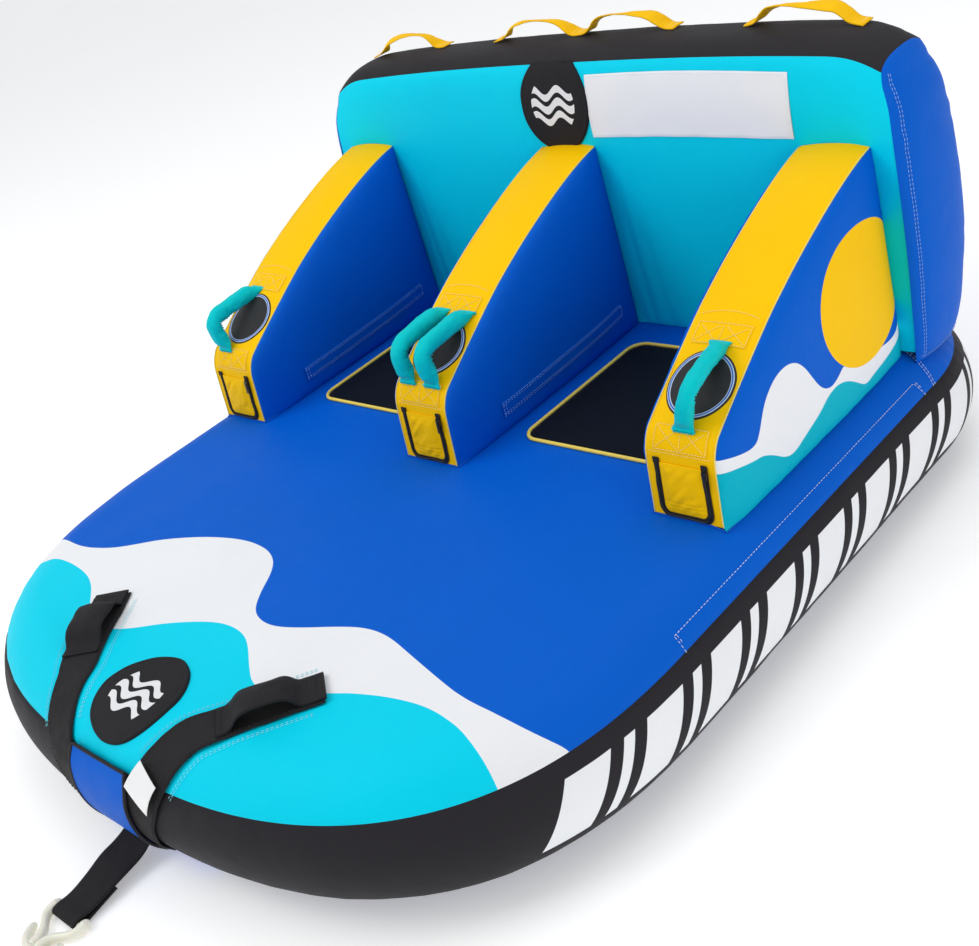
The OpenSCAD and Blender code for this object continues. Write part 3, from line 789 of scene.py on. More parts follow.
def arm_surf(side, s, t, lift=0.0, pucker=True):
    """A point of an arm's front strip: s up the profile, t across; and its normal."""
    s, t = np.broadcast_arrays(A(s, float), A(t, float))
    y, z = np.interp(s, PL, PP[:, 0]), np.interp(s, PL, PP[:, 1])
    ny, nz = np.interp(s, PL, PN[:, 0]), np.interp(s, PL, PN[:, 1])
    q = np.hypot(ny, nz)
    ny, nz = ny / q, nz / q
    k = {"left": 1, "centre": 2, "right": 3}[side]
    c = 0.0004 + 0.0052 * smooth(s, 0.11, 0.22)
    e = np.clip(np.abs(t) / ARM_W, 0, 1)
    h = c * (1 - e**2.2) + lift
    if pucker:
        f = smooth(s, 0.10, 0.15)
        pts = np.stack([(s / 0.017).ravel(), (np.sign(t) * 3.1 + t / 0.02).ravel(), np.full(s.size, k + 0.3)], 1)
        h = h + f * 0.0012 * np.exp(-(1 - e) * ARM_W / 0.010) * vnoise(pts, 21).reshape(s.shape) * np.where(e < 0.999, 1, 0.4)
        pts = np.stack([(s / 0.11).ravel(), (t / 0.07).ravel(), np.full(s.size, k + 5.3)], 1)
        h = h + f * 0.0011 * vnoise(pts, 22).reshape(s.shape)
    P = np.stack([ARM_X[side] + t, y + ny * h, z + nz * h], -1)
    # the cloth turns over the edges
    N = unit(np.stack([np.sign(t) * e**6 * 0.6, ny, nz], -1))
    return P, N


def deck_z(x, y):
    """Height of the deck's cloth under a point, on its flat top or its rounded side."""
    x, y = np.asarray(x, float), np.asarray(y, float)
    e = np.clip(np.abs(x) - (HWD - RR), 0, RR)
    return -RR + np.sqrt(RR * RR - e * e)


DISC = (0.457, 0.184, 0.118)
WAVE_TOP = [(-.02, .123), (0.013, .119), (.062, .104), (.093, .100), (.108, .114), (.128, .144), (.145, .161), (.172, .178), (.202, .184), (.228, .177),
            (.246, .158), (.260, .132), (.274, .108), (.290, .093), (.309, .087), (.329, .092), (.345, .101), (.361, .109), (.42, .085),
            (.485, .067), (.528, .060), (.558, .064), (.582, .078), (.593, .092), (.603, .095)]
WAVE_LOW = [(-.02, .100), (.002, .098), (.040, .089), (.085, .078), (.105, .076), (.130, .063), (.164, .038), (.190, .034), (.220, .045),
            (.249, .055), (.272, .064), (.297, .078), (.325, .082), (.356, .073), (.384, .055), (.411, .035), (.428, .031),
            (.451, .036), (.491, .037), (.544, .042), (.577, .052), (.60, .070)]


def below(p, C):
    """Signed distance to an open curve with growing y: positive under it."""
    C = curve(C, 0.003, smooth=2)
    d = dist_poly(p, C)
    z = np.interp(p[:, 0], C[:, 0], C[:, 1])
    return np.where(p[:, 1] < z, d, -d)


def side_grid(side, sx):
    """(n, m, 3) points of one side of an arm, sx = -1 or 1, top edge first; and the flat (y, z) grid."""
    n, m = ((128, 60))
    s = np.linspace(0, S_END, n)
    T = np.stack([np.interp(s, PL, PP[:, 0]), np.interp(s, PL, PP[:, 1])], 1)
    yb = 0.576 * (s / S_END) ** 0.82
    B = np.stack([yb, 0 * yb], 1)
    q = (1 - np.cos(np.linspace(0, math.pi, m))) / 2
    q = 0.6 * q + 0.4 * np.linspace(0, 1, m)
    G = T[:, None] * (1 - q)[None, :, None] + B[:, None] * q[None, :, None]
    k = {"left": 1, "centre": 2, "right": 3}[side] + (0.5 if sx > 0 else 0)
    H = membrane(G, 0.0310, 0.52)
    L = s[:, None] + 0 * q[None, :]
    dT = np.linalg.norm(G - G[:, :1], axis=2)
    dB = np.linalg.norm(G - G[:, -1:], axis=2)

    def nz(a, b, seed):
        return vnoise(np.stack([a.ravel(), b.ravel(), np.full(a.size, k)], 1), seed).reshape(a.shape)

    H += 0.0016 * np.exp(-dT / 0.022) * nz(L / 0.016, dT / 0.06, 31) * smooth(dT, 0, 0.006)
    H += 0.0018 * np.exp(-dB / 0.030) * nz(G[..., 0] / 0.024, dB / 0.08, 32) * smooth(dB, 0, 0.006)
    H += 0.0012 * nz(G[..., 0] / 0.10, G[..., 1] / 0.10, 33) * smooth(np.minimum(dT, dB), 0, 0.04)
    x = ARM_X[side] + sx * (ARM_W + 0.0008 + 0.0045 * q[None, :] ** 2 + H)
    z = G[..., 1]
    zb = deck_z(ARM_X[side] + sx * 0.072, yb) - 0.0022
    z = z + (zb[:, None] if zb.ndim else zb) * q[None, :] ** 3
    P = np.stack([x, G[..., 0], z], 2)
    return P, G, s, q


def build_arm(side):
    # front and top strip, with the hatch's opening
    s = np.unique(np.r_[np.linspace(0, 0.018, 4), np.linspace(0.018, 0.090, 12), np.linspace(0.090, S_END, 120)])
    t = np.unique(np.r_[-ARM_W, -ARM_W + 0.002, np.linspace(-ARM_W + 0.005, -0.036, 6), np.linspace(-0.036, 0.036, 13), np.linspace(0.036, ARM_W - 0.005, 6), ARM_W - 0.002, ARM_W].round(6))
    P, N = arm_surf(side, s[:, None], t[None, :])
    sc, tc = (s[1:] + s[:-1]) / 2, (t[1:] + t[:-1]) / 2
    hole = ((sc > 0.018) & (sc < 0.090))[:, None] & (np.abs(tc) < 0.036)[None, :]
    uv = np.stack(np.broadcast_arrays(s[:, None], t[None, :]), 2)
    M = Mesh()
    M.grid(P, uv=uv, keep=~hole, flip=False)
    M.build("arm_front_" + side, m_gold, repl="arm_strip_" + side, slot="gold_nylon")
    # sides
    M = Mesh()
    for sx in (-1, 1):
        P, G, ss, q = side_grid(side, sx)
        at = {}
        if (side, sx) in (("right", 1), ("left", -1)):
            p = G.reshape(-1, 2)
            disc = (1 - np.hypot((p[:, 0] - DISC[0]) / 0.146, (p[:, 1] - DISC[1]) / DISC[2])) * DISC[2]
            hide = np.where(disc > -0.02, -disc, 1.0)
            top = np.minimum(below(p, WAVE_TOP), 1)
            low = below(p, WAVE_LOW)
            at = dict(print_white=np.minimum(top, hide), print_cyan=np.minimum(low, np.where(disc > -0.02, -disc, 1.0)), print_gold=disc)
        else:
            at = dict(print_white=-1 + 0 * G[..., 0], print_cyan=-1 + 0 * G[..., 0], print_gold=-1 + 0 * G[..., 0])
        M.grid(P, uv=G[..., :2], flip=sx < 0, **at)
    M.build("arm_sides_cloth_" + side, m_arm_print, repl="arm_sides_" + side, slot="blue_nylon")
    # piping along both edges of the strip, tinted pale as a painted highlight, and the cord line at the foot
    M = Mesh()
    for sx in (-1, 1):
        s2 = np.linspace(0.0, S_END - 0.004, 180)
        P, N = arm_surf(side, s2, sx * (ARM_W + 0.0004) + 0 * s2, 0.0002, pucker=False)
        tube(M, P, 0.00135, 6, up=(sx, 0, 0.01))
    M.build("arm_piping_" + side, m_piping_painted_highlight, slot="gold_nylon")
    # cords where the arm is sewn to the deck, along both sides and across the foot
    M = Mesh()
    for sx in (-1, 1):
        y = np.linspace(0.002, 0.570, 200)
        x = ARM_X[side] + sx * 0.0735
        P = np.stack([x + 0 * y, y, deck_z(x, y) + 0.0008 + 0 * y], 1)
        tube(M, P, 0.0016, 6, up=(0, 0, 1))
    x = np.linspace(-0.072, 0.072, 60)
    P = np.stack([ARM_X[side] + x, 0 * x - 0.0012, deck_z(ARM_X[side] + x, 0) + 0.0012], 1)
    tube(M, P, 0.0016, 6)
    M.build("arm_foot_cord_" + side, m_piping_blue, slot="blue_nylon")


m_piping_blue = cloth("piping_blue", (20, 90, 200), pitch=0.0012, crinkle=0.5)
for _s in ARM_X:
    build_arm(_s)


# ---------------------------------------------------------------- backrest
BW = 0.70
BF = [(0.575, 0.0005), (0.577, 0.120), (0.580, 0.250), (0.586, 0.400), (0.596, 0.500), (0.606, 0.530)]
BT = [(0.606, 0.530), (0.614, 0.538), (0.630, 0.546), (0.655, 0.550), (0.690, 0.551), (0.722, 0.549), (0.745, 0.538)]
BR = [(0.745, 0.538), (0.757, 0.500), (0.765, 0.400), (0.768, 0.300), (0.765, 0.170), (0.750, 0.060), (0.712, 0.0005)]


def puff(P):
    """The inflated shape of the backrest's ends: swollen at half height, upper corners drawn in."""
    P = P.copy()
    ax, z = np.abs(P[..., 0]), P[..., 2]
    e = np.clip((ax - 0.585) / 0.115, 0, 1)
    mid = np.sin(math.pi * np.clip(z / 0.50, 0, 1)) ** 0.8
    P[..., 0] += np.sign(P[..., 0]) * (0.016 * smooth(ax, 0.50, 0.70) * mid - 0.010 * smooth(ax, 0.60, 0.70) * smooth(z, 0.44, 0.55))
    P[..., 1] -= 0.012 * e**1.5 * mid * smooth(P[..., 1], 0.70, 0.60)
    P[..., 2] -= 0.026 * e**2.4 * smooth(z, 0.42, 0.55)
    P[..., 2] += 0.021 * (1 - np.clip(ax / 0.70, 0, 1) ** 2.5) * smooth(z, 0.28, 0.53)
    return P


def sweep_x(line, name, mat, bulge, seed, repl, slot, nx, n, cuts=(0.0, 0.0), sink=None, extra=()):
    """A panel of the backrest: a (y, z) line carried across x, blown out between its edges."""
    Q = resample(curve(line, 0.004, smooth=2), n=n)
    x = np.linspace(-BW, BW, nx)
    T = unit(np.gradient(Q, axis=0))
    N = np.stack([-T[:, 1], T[:, 0]], 1)
    g = np.stack(np.broadcast_arrays(x[:, None], lengths(Q)[None, :]), 2)
    H = membrane(g, bulge, 0.5)
    d0, d1 = g[..., 1], g[0, -1, 1] - g[..., 1]
    dx = BW - np.abs(g[..., 0])

    def nz(a, b, sd):
        return vnoise(np.stack([a.ravel(), b.ravel(), np.full(a.size, seed + 0.5)], 1), sd).reshape(a.shape)

    for d in (d0, d1):
        H += 0.0018 * np.exp(-d / 0.018) * nz(g[..., 0] / 0.019, d / 0.07, 41) * smooth(d, 0, 0.006)
    H += 0.0016 * np.exp(-dx / 0.025) * nz(dx / 0.07, g[..., 1] / 0.020, 42) * smooth(dx, 0, 0.006)
    H += 0.0018 * nz(g[..., 0] / 0.16, g[..., 1] / 0.22, 43) * smooth(np.minimum(np.minimum(d0, d1), dx), 0, 0.05)
    if sink is not None:
        H += sink(g[..., 0], g[..., 1], Q)
    H = np.maximum(H, -0.0024)
    P = np.zeros(g.shape[:2] + (3,))
    P[..., 0] = x[:, None]
    P[..., 1] = Q[None, :, 0] + N[None, :, 0] * H
    P[..., 2] = Q[None, :, 1] + N[None, :, 1] * H
    P = puff(P)
    M = Mesh()
    M.grid(P, uv=g, flip=True)
    o = M.build(name, mat, repl=[repl, *extra], slot=slot)
    return P


def front_folds(x, l, Q):
    """Soft vertical folds of the front panel beside each arm, which pulls it in."""
    h = 0 * x
    for ax in (-0.6, 0.0, 0.6):
        d = np.abs(x - ax)
        top = smooth(l, 0.46, 0.30)
        h -= 0.008 * np.exp(-((np.maximum(d - 0.068, 0) / 0.035) ** 2)) * top
        for k, (off, w, a) in enumerate(((0.105, 0.010, 0.0028), (0.135, 0.012, 0.0020))):
            q = d - off - 0.10 * (0.36 - l) * (0.5 + 0.4 * k)
            h -= a * np.exp(-((q / w) ** 2)) * smooth(l, 0.38, 0.12)
    return h


nx = 300
BACK_P = sweep_x(BF, "back_front_cloth", m_cyan, 0.010, 1, "back_front_panel", "cyan_nylon", nx, 84, sink=front_folds, extra=["back_bladder"])
TOP_P = sweep_x(BT, "back_top_cloth", m_black, 0.005, 2, "back_top_panel", "black_nylon", nx, 30)


def valve_dent(x, l, Q):
    """The rear panel is drawn in under the valve's flange."""
    z = np.interp(l, lengths(Q), Q[:, 1])
    d = np.hypot(x + 0.300, z - 0.290)
    return -0.030 * smooth(d, 0.075, 0.034)


REAR_P = sweep_x(BR, "back_rear_cloth", m_blue, 0.008, 3, "back_rear_panel", "blue_nylon", nx, 70, sink=valve_dent)


def coons(c0, c1, d0, d1):
    """Patch between curves c0 (v=0), c1 (v=1) and d0 (u=0), d1 (u=1)."""
    n, m = len(c0), len(d0)
    u, v = np.linspace(0, 1, n)[:, None, None], np.linspace(0, 1, m)[None, :, None]
    a = (1 - v) * c0[:, None] + v * c1[:, None]
    b = (1 - u) * d0[None] + u * d1[None]
    c = (1 - u) * (1 - v) * c0[0] + u * (1 - v) * c0[-1] + (1 - u) * v * c1[0] + u * v * c1[-1]
    return a + b - c


def build_back_sides():
    n, m = ((110, 50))
    F = resample(curve(BF, 0.004, smooth=2), n=n)
    R = resample(curve(BR, 0.004, smooth=2), n=n)[::-1]
    T = resample(curve(BT, 0.002, smooth=2), n=m)
    B = np.stack([np.linspace(F[0, 0], R[0, 0], m), np.linspace(F[0, 1], R[0, 1], m)], 1)
    G = coons(F, R, B, T)
    H = membrane(G, 0.030, 0.55)
    M, S = Mesh(), Mesh()
    for sx in (-1, 1):
        d = np.minimum(np.minimum(np.linalg.norm(G - G[:, :1], axis=2), np.linalg.norm(G - G[:, -1:], axis=2)),
                       np.minimum(np.linalg.norm(G - G[:1], axis=2), np.linalg.norm(G - G[-1:], axis=2)))
        L = G[..., 1]
        w = vnoise(np.stack([(L / 0.018).ravel(), (d / 0.07).ravel(), np.full(L.size, sx * 2.5)], 1), 51).reshape(L.shape)
        Hs = H + 0.0022 * np.exp(-d / 0.022) * w * smooth(d, 0, 0.006)
        P0 = puff(np.stack([sx * (BW + 0 * H), G[..., 0], G[..., 1]], 2))
        P = P0 + np.stack([sx * Hs, 0 * H, 0 * H], 2)
        zb = deck_z(P[..., 0], P[..., 1])
        k = smooth(P[..., 2], 0.10, 0.0)
        P[..., 2] += k * (zb - 0.002)
        M.grid(P, uv=G, flip=sx > 0)
        Nn = A([sx, 0, 0])
        df = np.linalg.norm(G - G[:, :1], axis=2)
        for off in (0.012, 0.0165):
            row = A([[np.interp(off, df[i], P[i, :, k]) for k in range(3)] for i in range(3, n - 2)])
            stitches(S, row + Nn * 0.0006, Nn, w=0.0007)
        db = np.linalg.norm(G - G[:1], axis=2)
        for off in (0.014, 0.0185):
            row = A([[np.interp(off, db[:, j], P[:, j, k]) for k in range(3)] for j in range(2, m - 2)])
            stitches(S, row + Nn * 0.0006, Nn, w=0.0007)
    M.build("back_side_cloth", m_blue, repl="back_side_panels", slot="blue_nylon")
    S.build("back_side_stitches", m_thread_blue, slot="blue_nylon")


build_back_sides()


# ---------------------------------------------------------------- laying things on cloth
INNER = OP - ON * RR


def conform(V, lift, waves=True):
    """Moves points to the given height over the deck's cloth, wherever they are round its edge."""
    V = A(V, float).reshape(-1, 3)
    lift = np.broadcast_to(A(lift, float).ravel(), (len(V),))
    out = V.copy()
    IC = INNER[:: 2]
    IN = ON[:: 2]
    for k in range(0, len(V), 4000):
        p = V[k : k + 4000]
        d = np.linalg.norm(p[:, None, :2] - IC[None], axis=2)
        j = d.argmin(1)
        off = p[:, :2] - IC[j]
        dist = (off * IN[j]).sum(1)
        # refine along the curve: use the tangential remainder
        c = p[:, :2] - IN[j] * dist[:, None]
        flat = dist <= 0
        vx, vz = np.maximum(dist, 0), p[:, 2] + RR
        r = np.maximum(np.hypot(vx, vz), 1e-6)
        q = RR + lift[k : k + 4000]
        xy = c + IN[j] * (vx / r * q)[:, None]
        z = -RR + vz / r * q
        ang = np.arctan2(vx, vz) * RR
        tz = top_z(p[:, 0], p[:, 1]) if waves else 0
        out[k : k + 4000, :2] = np.where(flat[:, None], p[:, :2], xy)
        out[k : k + 4000, 2] = np.where(flat, lift[k : k + 4000] + tz, z + tz * smooth(ang, 0.09, 0.0))
    return out


def nose_xy(x):
    """Outline point and normal of the nose at a given x."""
    x = A(x, float)
    s = np.sign(x) + (x == 0)
    c = np.clip(np.abs(x) / HWD, 0, 1) ** (NSQ / 2)
    sn = np.sqrt(1 - c * c)
    P = np.stack([x, SF - NL * sn ** (2 / NSQ)], -1)
    kk = 2 * (NSQ - 1) / NSQ
    N = unit(np.stack([s * c**kk / HWD, -(sn**kk) / NL], -1))
    return P, N


def nose_at(x, v, g=0.0):
    P, N = nose_xy(x)
    v = np.radians(A(v, float))
    r = RR + g
    xy = P + N * (-RR + r * np.cos(v))[..., None]
    return np.concatenate([xy, (-RR + r * np.sin(v))[..., None]], -1)


def nose_up(x, v):
    return unit(nose_at(x, v, 0.01) - nose_at(x, v, 0.0))


def cloth_band(M, P, up, half, lift0, t, nx=12, m=0, crown=0.0, wave=None, edge=0.0016, ends=True):
    """A band of cloth that follows the deck: path P, half width, underside height lift0 and thickness t; its cross-section is laid on the cloth."""
    P = A(P, float)
    T, S, U = frames(P, up)
    n = len(P)
    half = np.broadcast_to(A(half, float), (n,))
    lift0 = np.broadcast_to(A(lift0, float), (n,))
    L = lengths(P)
    xs = np.linspace(-1, 1, nx + 1)
    rows = []
    for x in xs:
        w = wave(L, x) if wave is not None else 0.0
        rows.append((x, lift0 + t + crown * (1 - x * x) + w))
    rows.append((1 + edge / 0.035, lift0 + t * 0.5 + (wave(L, 1.0) if wave is not None else 0)))
    for x in xs[::-1]:
        w = wave(L, x) if wave is not None else 0.0
        rows.append((x, lift0 + w))
    rows.append((-1 - edge / 0.035, lift0 + t * 0.5 + (wave(L, -1.0) if wave is not None else 0)))
    G = np.stack([conform(P + S * (half * x)[:, None], l) for x, l in rows], 1)
    M.grid(G, cv=True, m=m, flip=True)
    k = G.shape[1]
    if ends:
        base = M.n - n * k
        for off, rev in ((0, False), ((n - 1) * k, True)):
            # close the flat end with a strip of quads between the upper and lower rows
            for j in range(nx):
                a, b = off + j, off + j + 1
                c, d = off + (2 * nx + 2 - j - 1), off + (2 * nx + 2 - j)
                f = [base + a, base + b, base + c, base + d]
                M.F.append(f if not rev else f[::-1])
                M.UV.append(np.zeros((4, 2)))
                M.M.append(m)


def deck_stitch(M, pts, lift=0.0008, **kw):
    P = conform(resample(A(pts, float), 0.004), lift)
    up = unit(conform(P, lift + 0.01) - P)
    stitches(M, P, up, **kw)


# ---------------------------------------------------------------- arms: pads, patches, stitches, hatches
def knuckle_mat():
    g = Mat("knuckle_pad")
    o = g.obj()
    r = g.attr("radius")
    col = g.n("ShaderNodeRGB").outputs[0]
    col.default_value = lin((24, 23, 27))
    for a, b, c in ((0.0535, 0.0550, (205, 222, 245)), (0.0550, 0.0575, (30, 96, 205)), (0.0575, 0.0590, (205, 222, 245))):
        f = g.math("MULTIPLY", g.edge(g.math("SUBTRACT", r, a), 0.0004), g.edge(g.math("SUBTRACT", b, r), 0.0004))
        col = g.mix(f, col, lin(c))
    h = weave_height(g, 0.0024)
    col = g.shade(col, g.math("MULTIPLY_ADD", h, 0.5, 0.5), 0.14)
    col = g.shade(col, g.noise(o, 40.0, 3.0), 0.15)
    g.link(col, g.p.inputs["Base Color"])
    g.p.inputs["Roughness"].default_value = 0.66
    g.p.inputs["Sheen Weight"].default_value = 0.02
    g.bumps([(h, 0.0003, 0.8), (g.noise(o, 60.0, 3.0), 0.001, 0.3)])
    return g.m


m_knuckle = knuckle_mat()
K_S = S_SLOPE + 0.075


def build_knuckles():
    M = Mesh()
    for side in ARM_X:
        r = A([0.0, 0.010, 0.022, 0.034, 0.044, 0.052, 0.0535, 0.055, 0.0575, 0.059, 0.0605, 0.0615, 0.0622])
        lift = A([2.6, 2.6, 2.5, 2.3, 2.0, 1.6, 1.2, 1.7, 1.8, 1.3, 1.5, 1.2, 0.0]) * 0.001
        a = np.linspace(0, TAU, 97)[:-1]
        R, AA = np.meshgrid(r, a, indexing="ij")
        P, N = arm_surf(side, K_S + R * np.sin(AA), R * np.cos(AA), lift[:, None] + 0 * AA)
        uv = np.stack([R * np.cos(AA), R * np.sin(AA)], 2)
        uv = np.concatenate([uv, uv[:, :1]], 1)
        M.grid(P, cv=True, uv=uv, radius=R)
    o = M.build("knuckle_pad_discs", m_knuckle, repl="knuckle_pads", slot="pad_fabric")
    weld(o)


build_knuckles()


def arm_line(M, side, pts, lift=0.0016, w=0.0014, **kw):
    """Stitches through (s, t) points on an arm's strip."""
    Q = resample(A(pts, float), 0.002)
    P, N = arm_surf(side, Q[:, 0], Q[:, 1], lift)
    stitches(M, P, N, w=w, length=0.0042, gap=0.0014, **kw)


BOXES = [(0.121, 0.160), (S_SLOPE + 0.148, S_SLOPE + 0.186)]


def build_patches():
    M, T = Mesh(), Mesh()
    for side in ARM_X:
        for s0, s1 in BOXES:
            s = np.linspace(s0 - 0.002, s1 + 0.002, 16)
            t = np.linspace(-0.0525, 0.0525, 27)
            S, TT = np.meshgrid(s, t, indexing="ij")
            e = np.minimum(np.minimum(S - s[0], s[-1] - S), np.minimum(TT - t[0], t[-1] - TT))
            lift = 0.0002 + 0.0013 * smooth(e, -0.001, 0.003)
            P, N = arm_surf(side, S, TT, lift)
            M.grid(P, uv=np.stack([S, TT], 2))
            for w in (0.0, 0.0035):
                a, b, c, d = s0 + w, s1 - w, -0.050 + w, 0.050 - w
                if w == 0:
                    arm_line(T, side, [(a, c), (a, d), (b, d), (b, c), (a, c)], 0.0019)
            arm_line(T, side, [(s0, 0.0), (s1, 0.0)], 0.0019)
            for c, d in ((-0.047, -0.003), (0.003, 0.047)):
                a, b = s0 + 0.003, s1 - 0.003
                arm_line(T, side, [(a, c), (b, d)], 0.0019)
                arm_line(T, side, [(a, d), (b, c)], 0.0019)
        x = np.linspace(-0.056, 0.056, 40)
        arc = np.stack([BOXES[1][1] + 0.016 + 0.008 * (1 - (x / 0.056) ** 2), x], 1)
        arm_line(T, side, arc, 0.0006)
        # a row across the strip, over the hatch
        arm_line(T, side, [(0.116, -0.060), (0.116, 0.060)], 0.0006)
    M.build("grip_anchor_patches", m_gold, repl="webbing_anchor_patches", slot="gold_nylon")
    T.build("arm_stitches", m_thread_gold, slot="gold_nylon")


build_patches()

FACE_UP, FACE_OUT = A([0, 0.1151, 0.9934]), A([0, -0.9934, 0.1151])


def face_pt(side, t, s, w):
    return A([ARM_X[side], 0, 0.0005]) + np.stack([A(t), 0 * A(t), 0 * A(t)], -1) + A(s)[..., None] * FACE_UP + A(w)[..., None] * FACE_OUT


def u_path(half, bottom, top, r):
    """U from the upper left, round the bottom, to the upper right: (t, s)."""
    a = np.radians(np.linspace(180, 270, 14))
    left = [(-half, top), (-half, bottom + r)]
    c1 = [(-half + r + r * math.cos(x), bottom + r + r * math.sin(x)) for x in a]
    c2 = [(-p[0], p[1]) for p in c1[::-1]]
    return A(left + c1 + c2 + [(half, bottom + r), (half, top)])


def build_hatches():
    Z, C = Mesh(), Mesh()
    for i, side in enumerate(ARM_X):
        U = resample(u_path(0.0468, 0.0050, 0.1015, 0.016), 0.0016)
        L = lengths(U)
        wob = 0.0017 * n1(L / 0.024, 60 + i) * smooth(L, 0, 0.02)
        P = face_pt(side, U[:, 0], U[:, 1], 0.0006 + 0 * L)
        T2 = unit(np.gradient(U, axis=0))
        P = P + face_pt(side, -T2[:, 1] * wob, T2[:, 0] * wob, 0 * L) - face_pt(side, 0 * L, 0 * L, 0 * L)
        strip(Z, P, FACE_OUT, 0.0050 + 0.0006 * n1(L / 0.02, 70 + i), 0.0018, nx=4)
        # the coil: a bead line down the middle
        Pc = resample(P, 0.0007) + FACE_OUT * 0.0023
        r = 0.0010 + 0.00035 * np.abs(np.sin(lengths(Pc) * math.pi / 0.0022))
        tube(C, Pc, r, 6, up=FACE_OUT)
        for sx in (-1, 1):  # square end stops
            c = face_pt(side, A([sx * 0.0468]), A([0.1020]), A([0.0008]))[0]
            q = A([c + A([-0.0055, 0, 0]), c + A([0.0055, 0, 0])])
            strip(Z, resample(q, n=4), FACE_OUT, 0.0045, 0.0026, nx=4)
        # flap: a soft panel with a rolled hem
        n, m = 44, 44
        b = np.linspace(-1, 1, n)
        a = np.linspace(0, 1, m)
        TT, SS = np.meshgrid(b, a, indexing="ij")
        s = 0.0100 + SS * 0.0890
        low = np.clip((0.0085 + 0.014 - s) / 0.014, 0, 1)
        halfw = 0.0412 - 0.014 * (1 - np.sqrt(np.maximum(1 - low**2, 0)))
        t = TT * halfw
        e = np.minimum(np.minimum(halfw - np.abs(t), s - 0.0085), 0.099 - s)
        puff = 0.0036 * smooth(e, 0, 0.020)
        q = np.stack([(t / 0.030 + s / 0.03).ravel(), ((s - t) / 0.012).ravel(), np.full(t.size, i + 0.5)], 1)
        puff = puff + 0.0021 * vnoise(q, 61).reshape(t.shape) * smooth(e, 0, 0.012)
        puff = puff - 0.0011 * np.exp(-(((s - 0.0235) / 0.0016) ** 2)) * smooth(e, 0, 0.004) - 0.0011 * np.exp(-(((s - 0.0300) / 0.0016) ** 2)) * smooth(e, 0, 0.004)
        top = face_pt(side, t, s, 0.0022 + puff)
        und = face_pt(side, t, s, 0.0010 + puff * 0.75)
        M = Mesh()
        uv = np.stack([t, s], 2)
        M.grid(top, uv=uv, flip=True)
        M.grid(und, uv=uv)
        I = np.arange(n * m).reshape(n, m)
        ring = np.r_[I[:, 0], I[-1, 1:], I[::-1, -1][1:], I[0, ::-1][1:-1]]
        for j in range(len(ring)):
            x, y = int(ring[j]), int(ring[(j + 1) % len(ring)])
            M.F.append([x, y, y + n * m, x + n * m])
            M.UV.append(np.zeros((4, 2)))
            M.M.append(0)
        M.build("hatch_flap_" + side, m_gold, body="flap_" + side, repl="valve_flap_" + side, slot="gold_nylon")
    # rear zip under the deck's back edge
    x = np.linspace(-0.425, 0.425, 120)
    P = np.stack([x, 0 * x + 0.884, 0 * x - 0.192], 1)
    P = conform(P, 0.0004)
    up = unit(conform(P, 0.012) - P)
    cloth_band(Z, P, up, 0.014, 0.0006, 0.0016, nx=6)
    Pc = resample(conform(P, 0.003), 0.0014)
    r = 0.0016 + 0.0005 * np.abs(np.sin(lengths(Pc) * math.pi / 0.0036))
    tube(C, Pc, r, 6, up=(0, 0.88, -0.47))
    Z.build("zip_tape_cloth", m_web_black, repl="zip_tapes", slot="zip_tape")
    C.build("zip_coils", m_black_plastic, slot="zip_plastic")


build_hatches()

# ---------------------------------------------------------------- padded grips
TILT = math.atan2(100, 165)
SL_A, SL_O = A([0, math.cos(TILT), math.sin(TILT)]), A([0, -math.sin(TILT), math.cos(TILT)])
GRIPS = {"left": (-0.622, "left"), "centre_a": (-0.033, "centre"), "centre_b": (0.033, "centre"), "right": (0.606, "right")}


def slope_pt(x, along, off):
    x, along, off = np.broadcast_arrays(A(x, float), A(along, float), A(off, float))
    return np.stack([x, 0 * x + 0.040, 0 * x + 0.153], -1) + along[..., None] * SL_A + off[..., None] * SL_O


GRIP_LINE = [(-0.010, 0.0062), (-0.004, 0.0085), (0.0015, 0.0150), (0.008, 0.029), (0.0145, 0.043), (0.026, 0.0575), (0.044, 0.0605),
             (0.060, 0.0540), (0.090, 0.0385), (0.120, 0.0235), (0.134, 0.0130), (0.145, 0.0078), (0.152, 0.0066)]


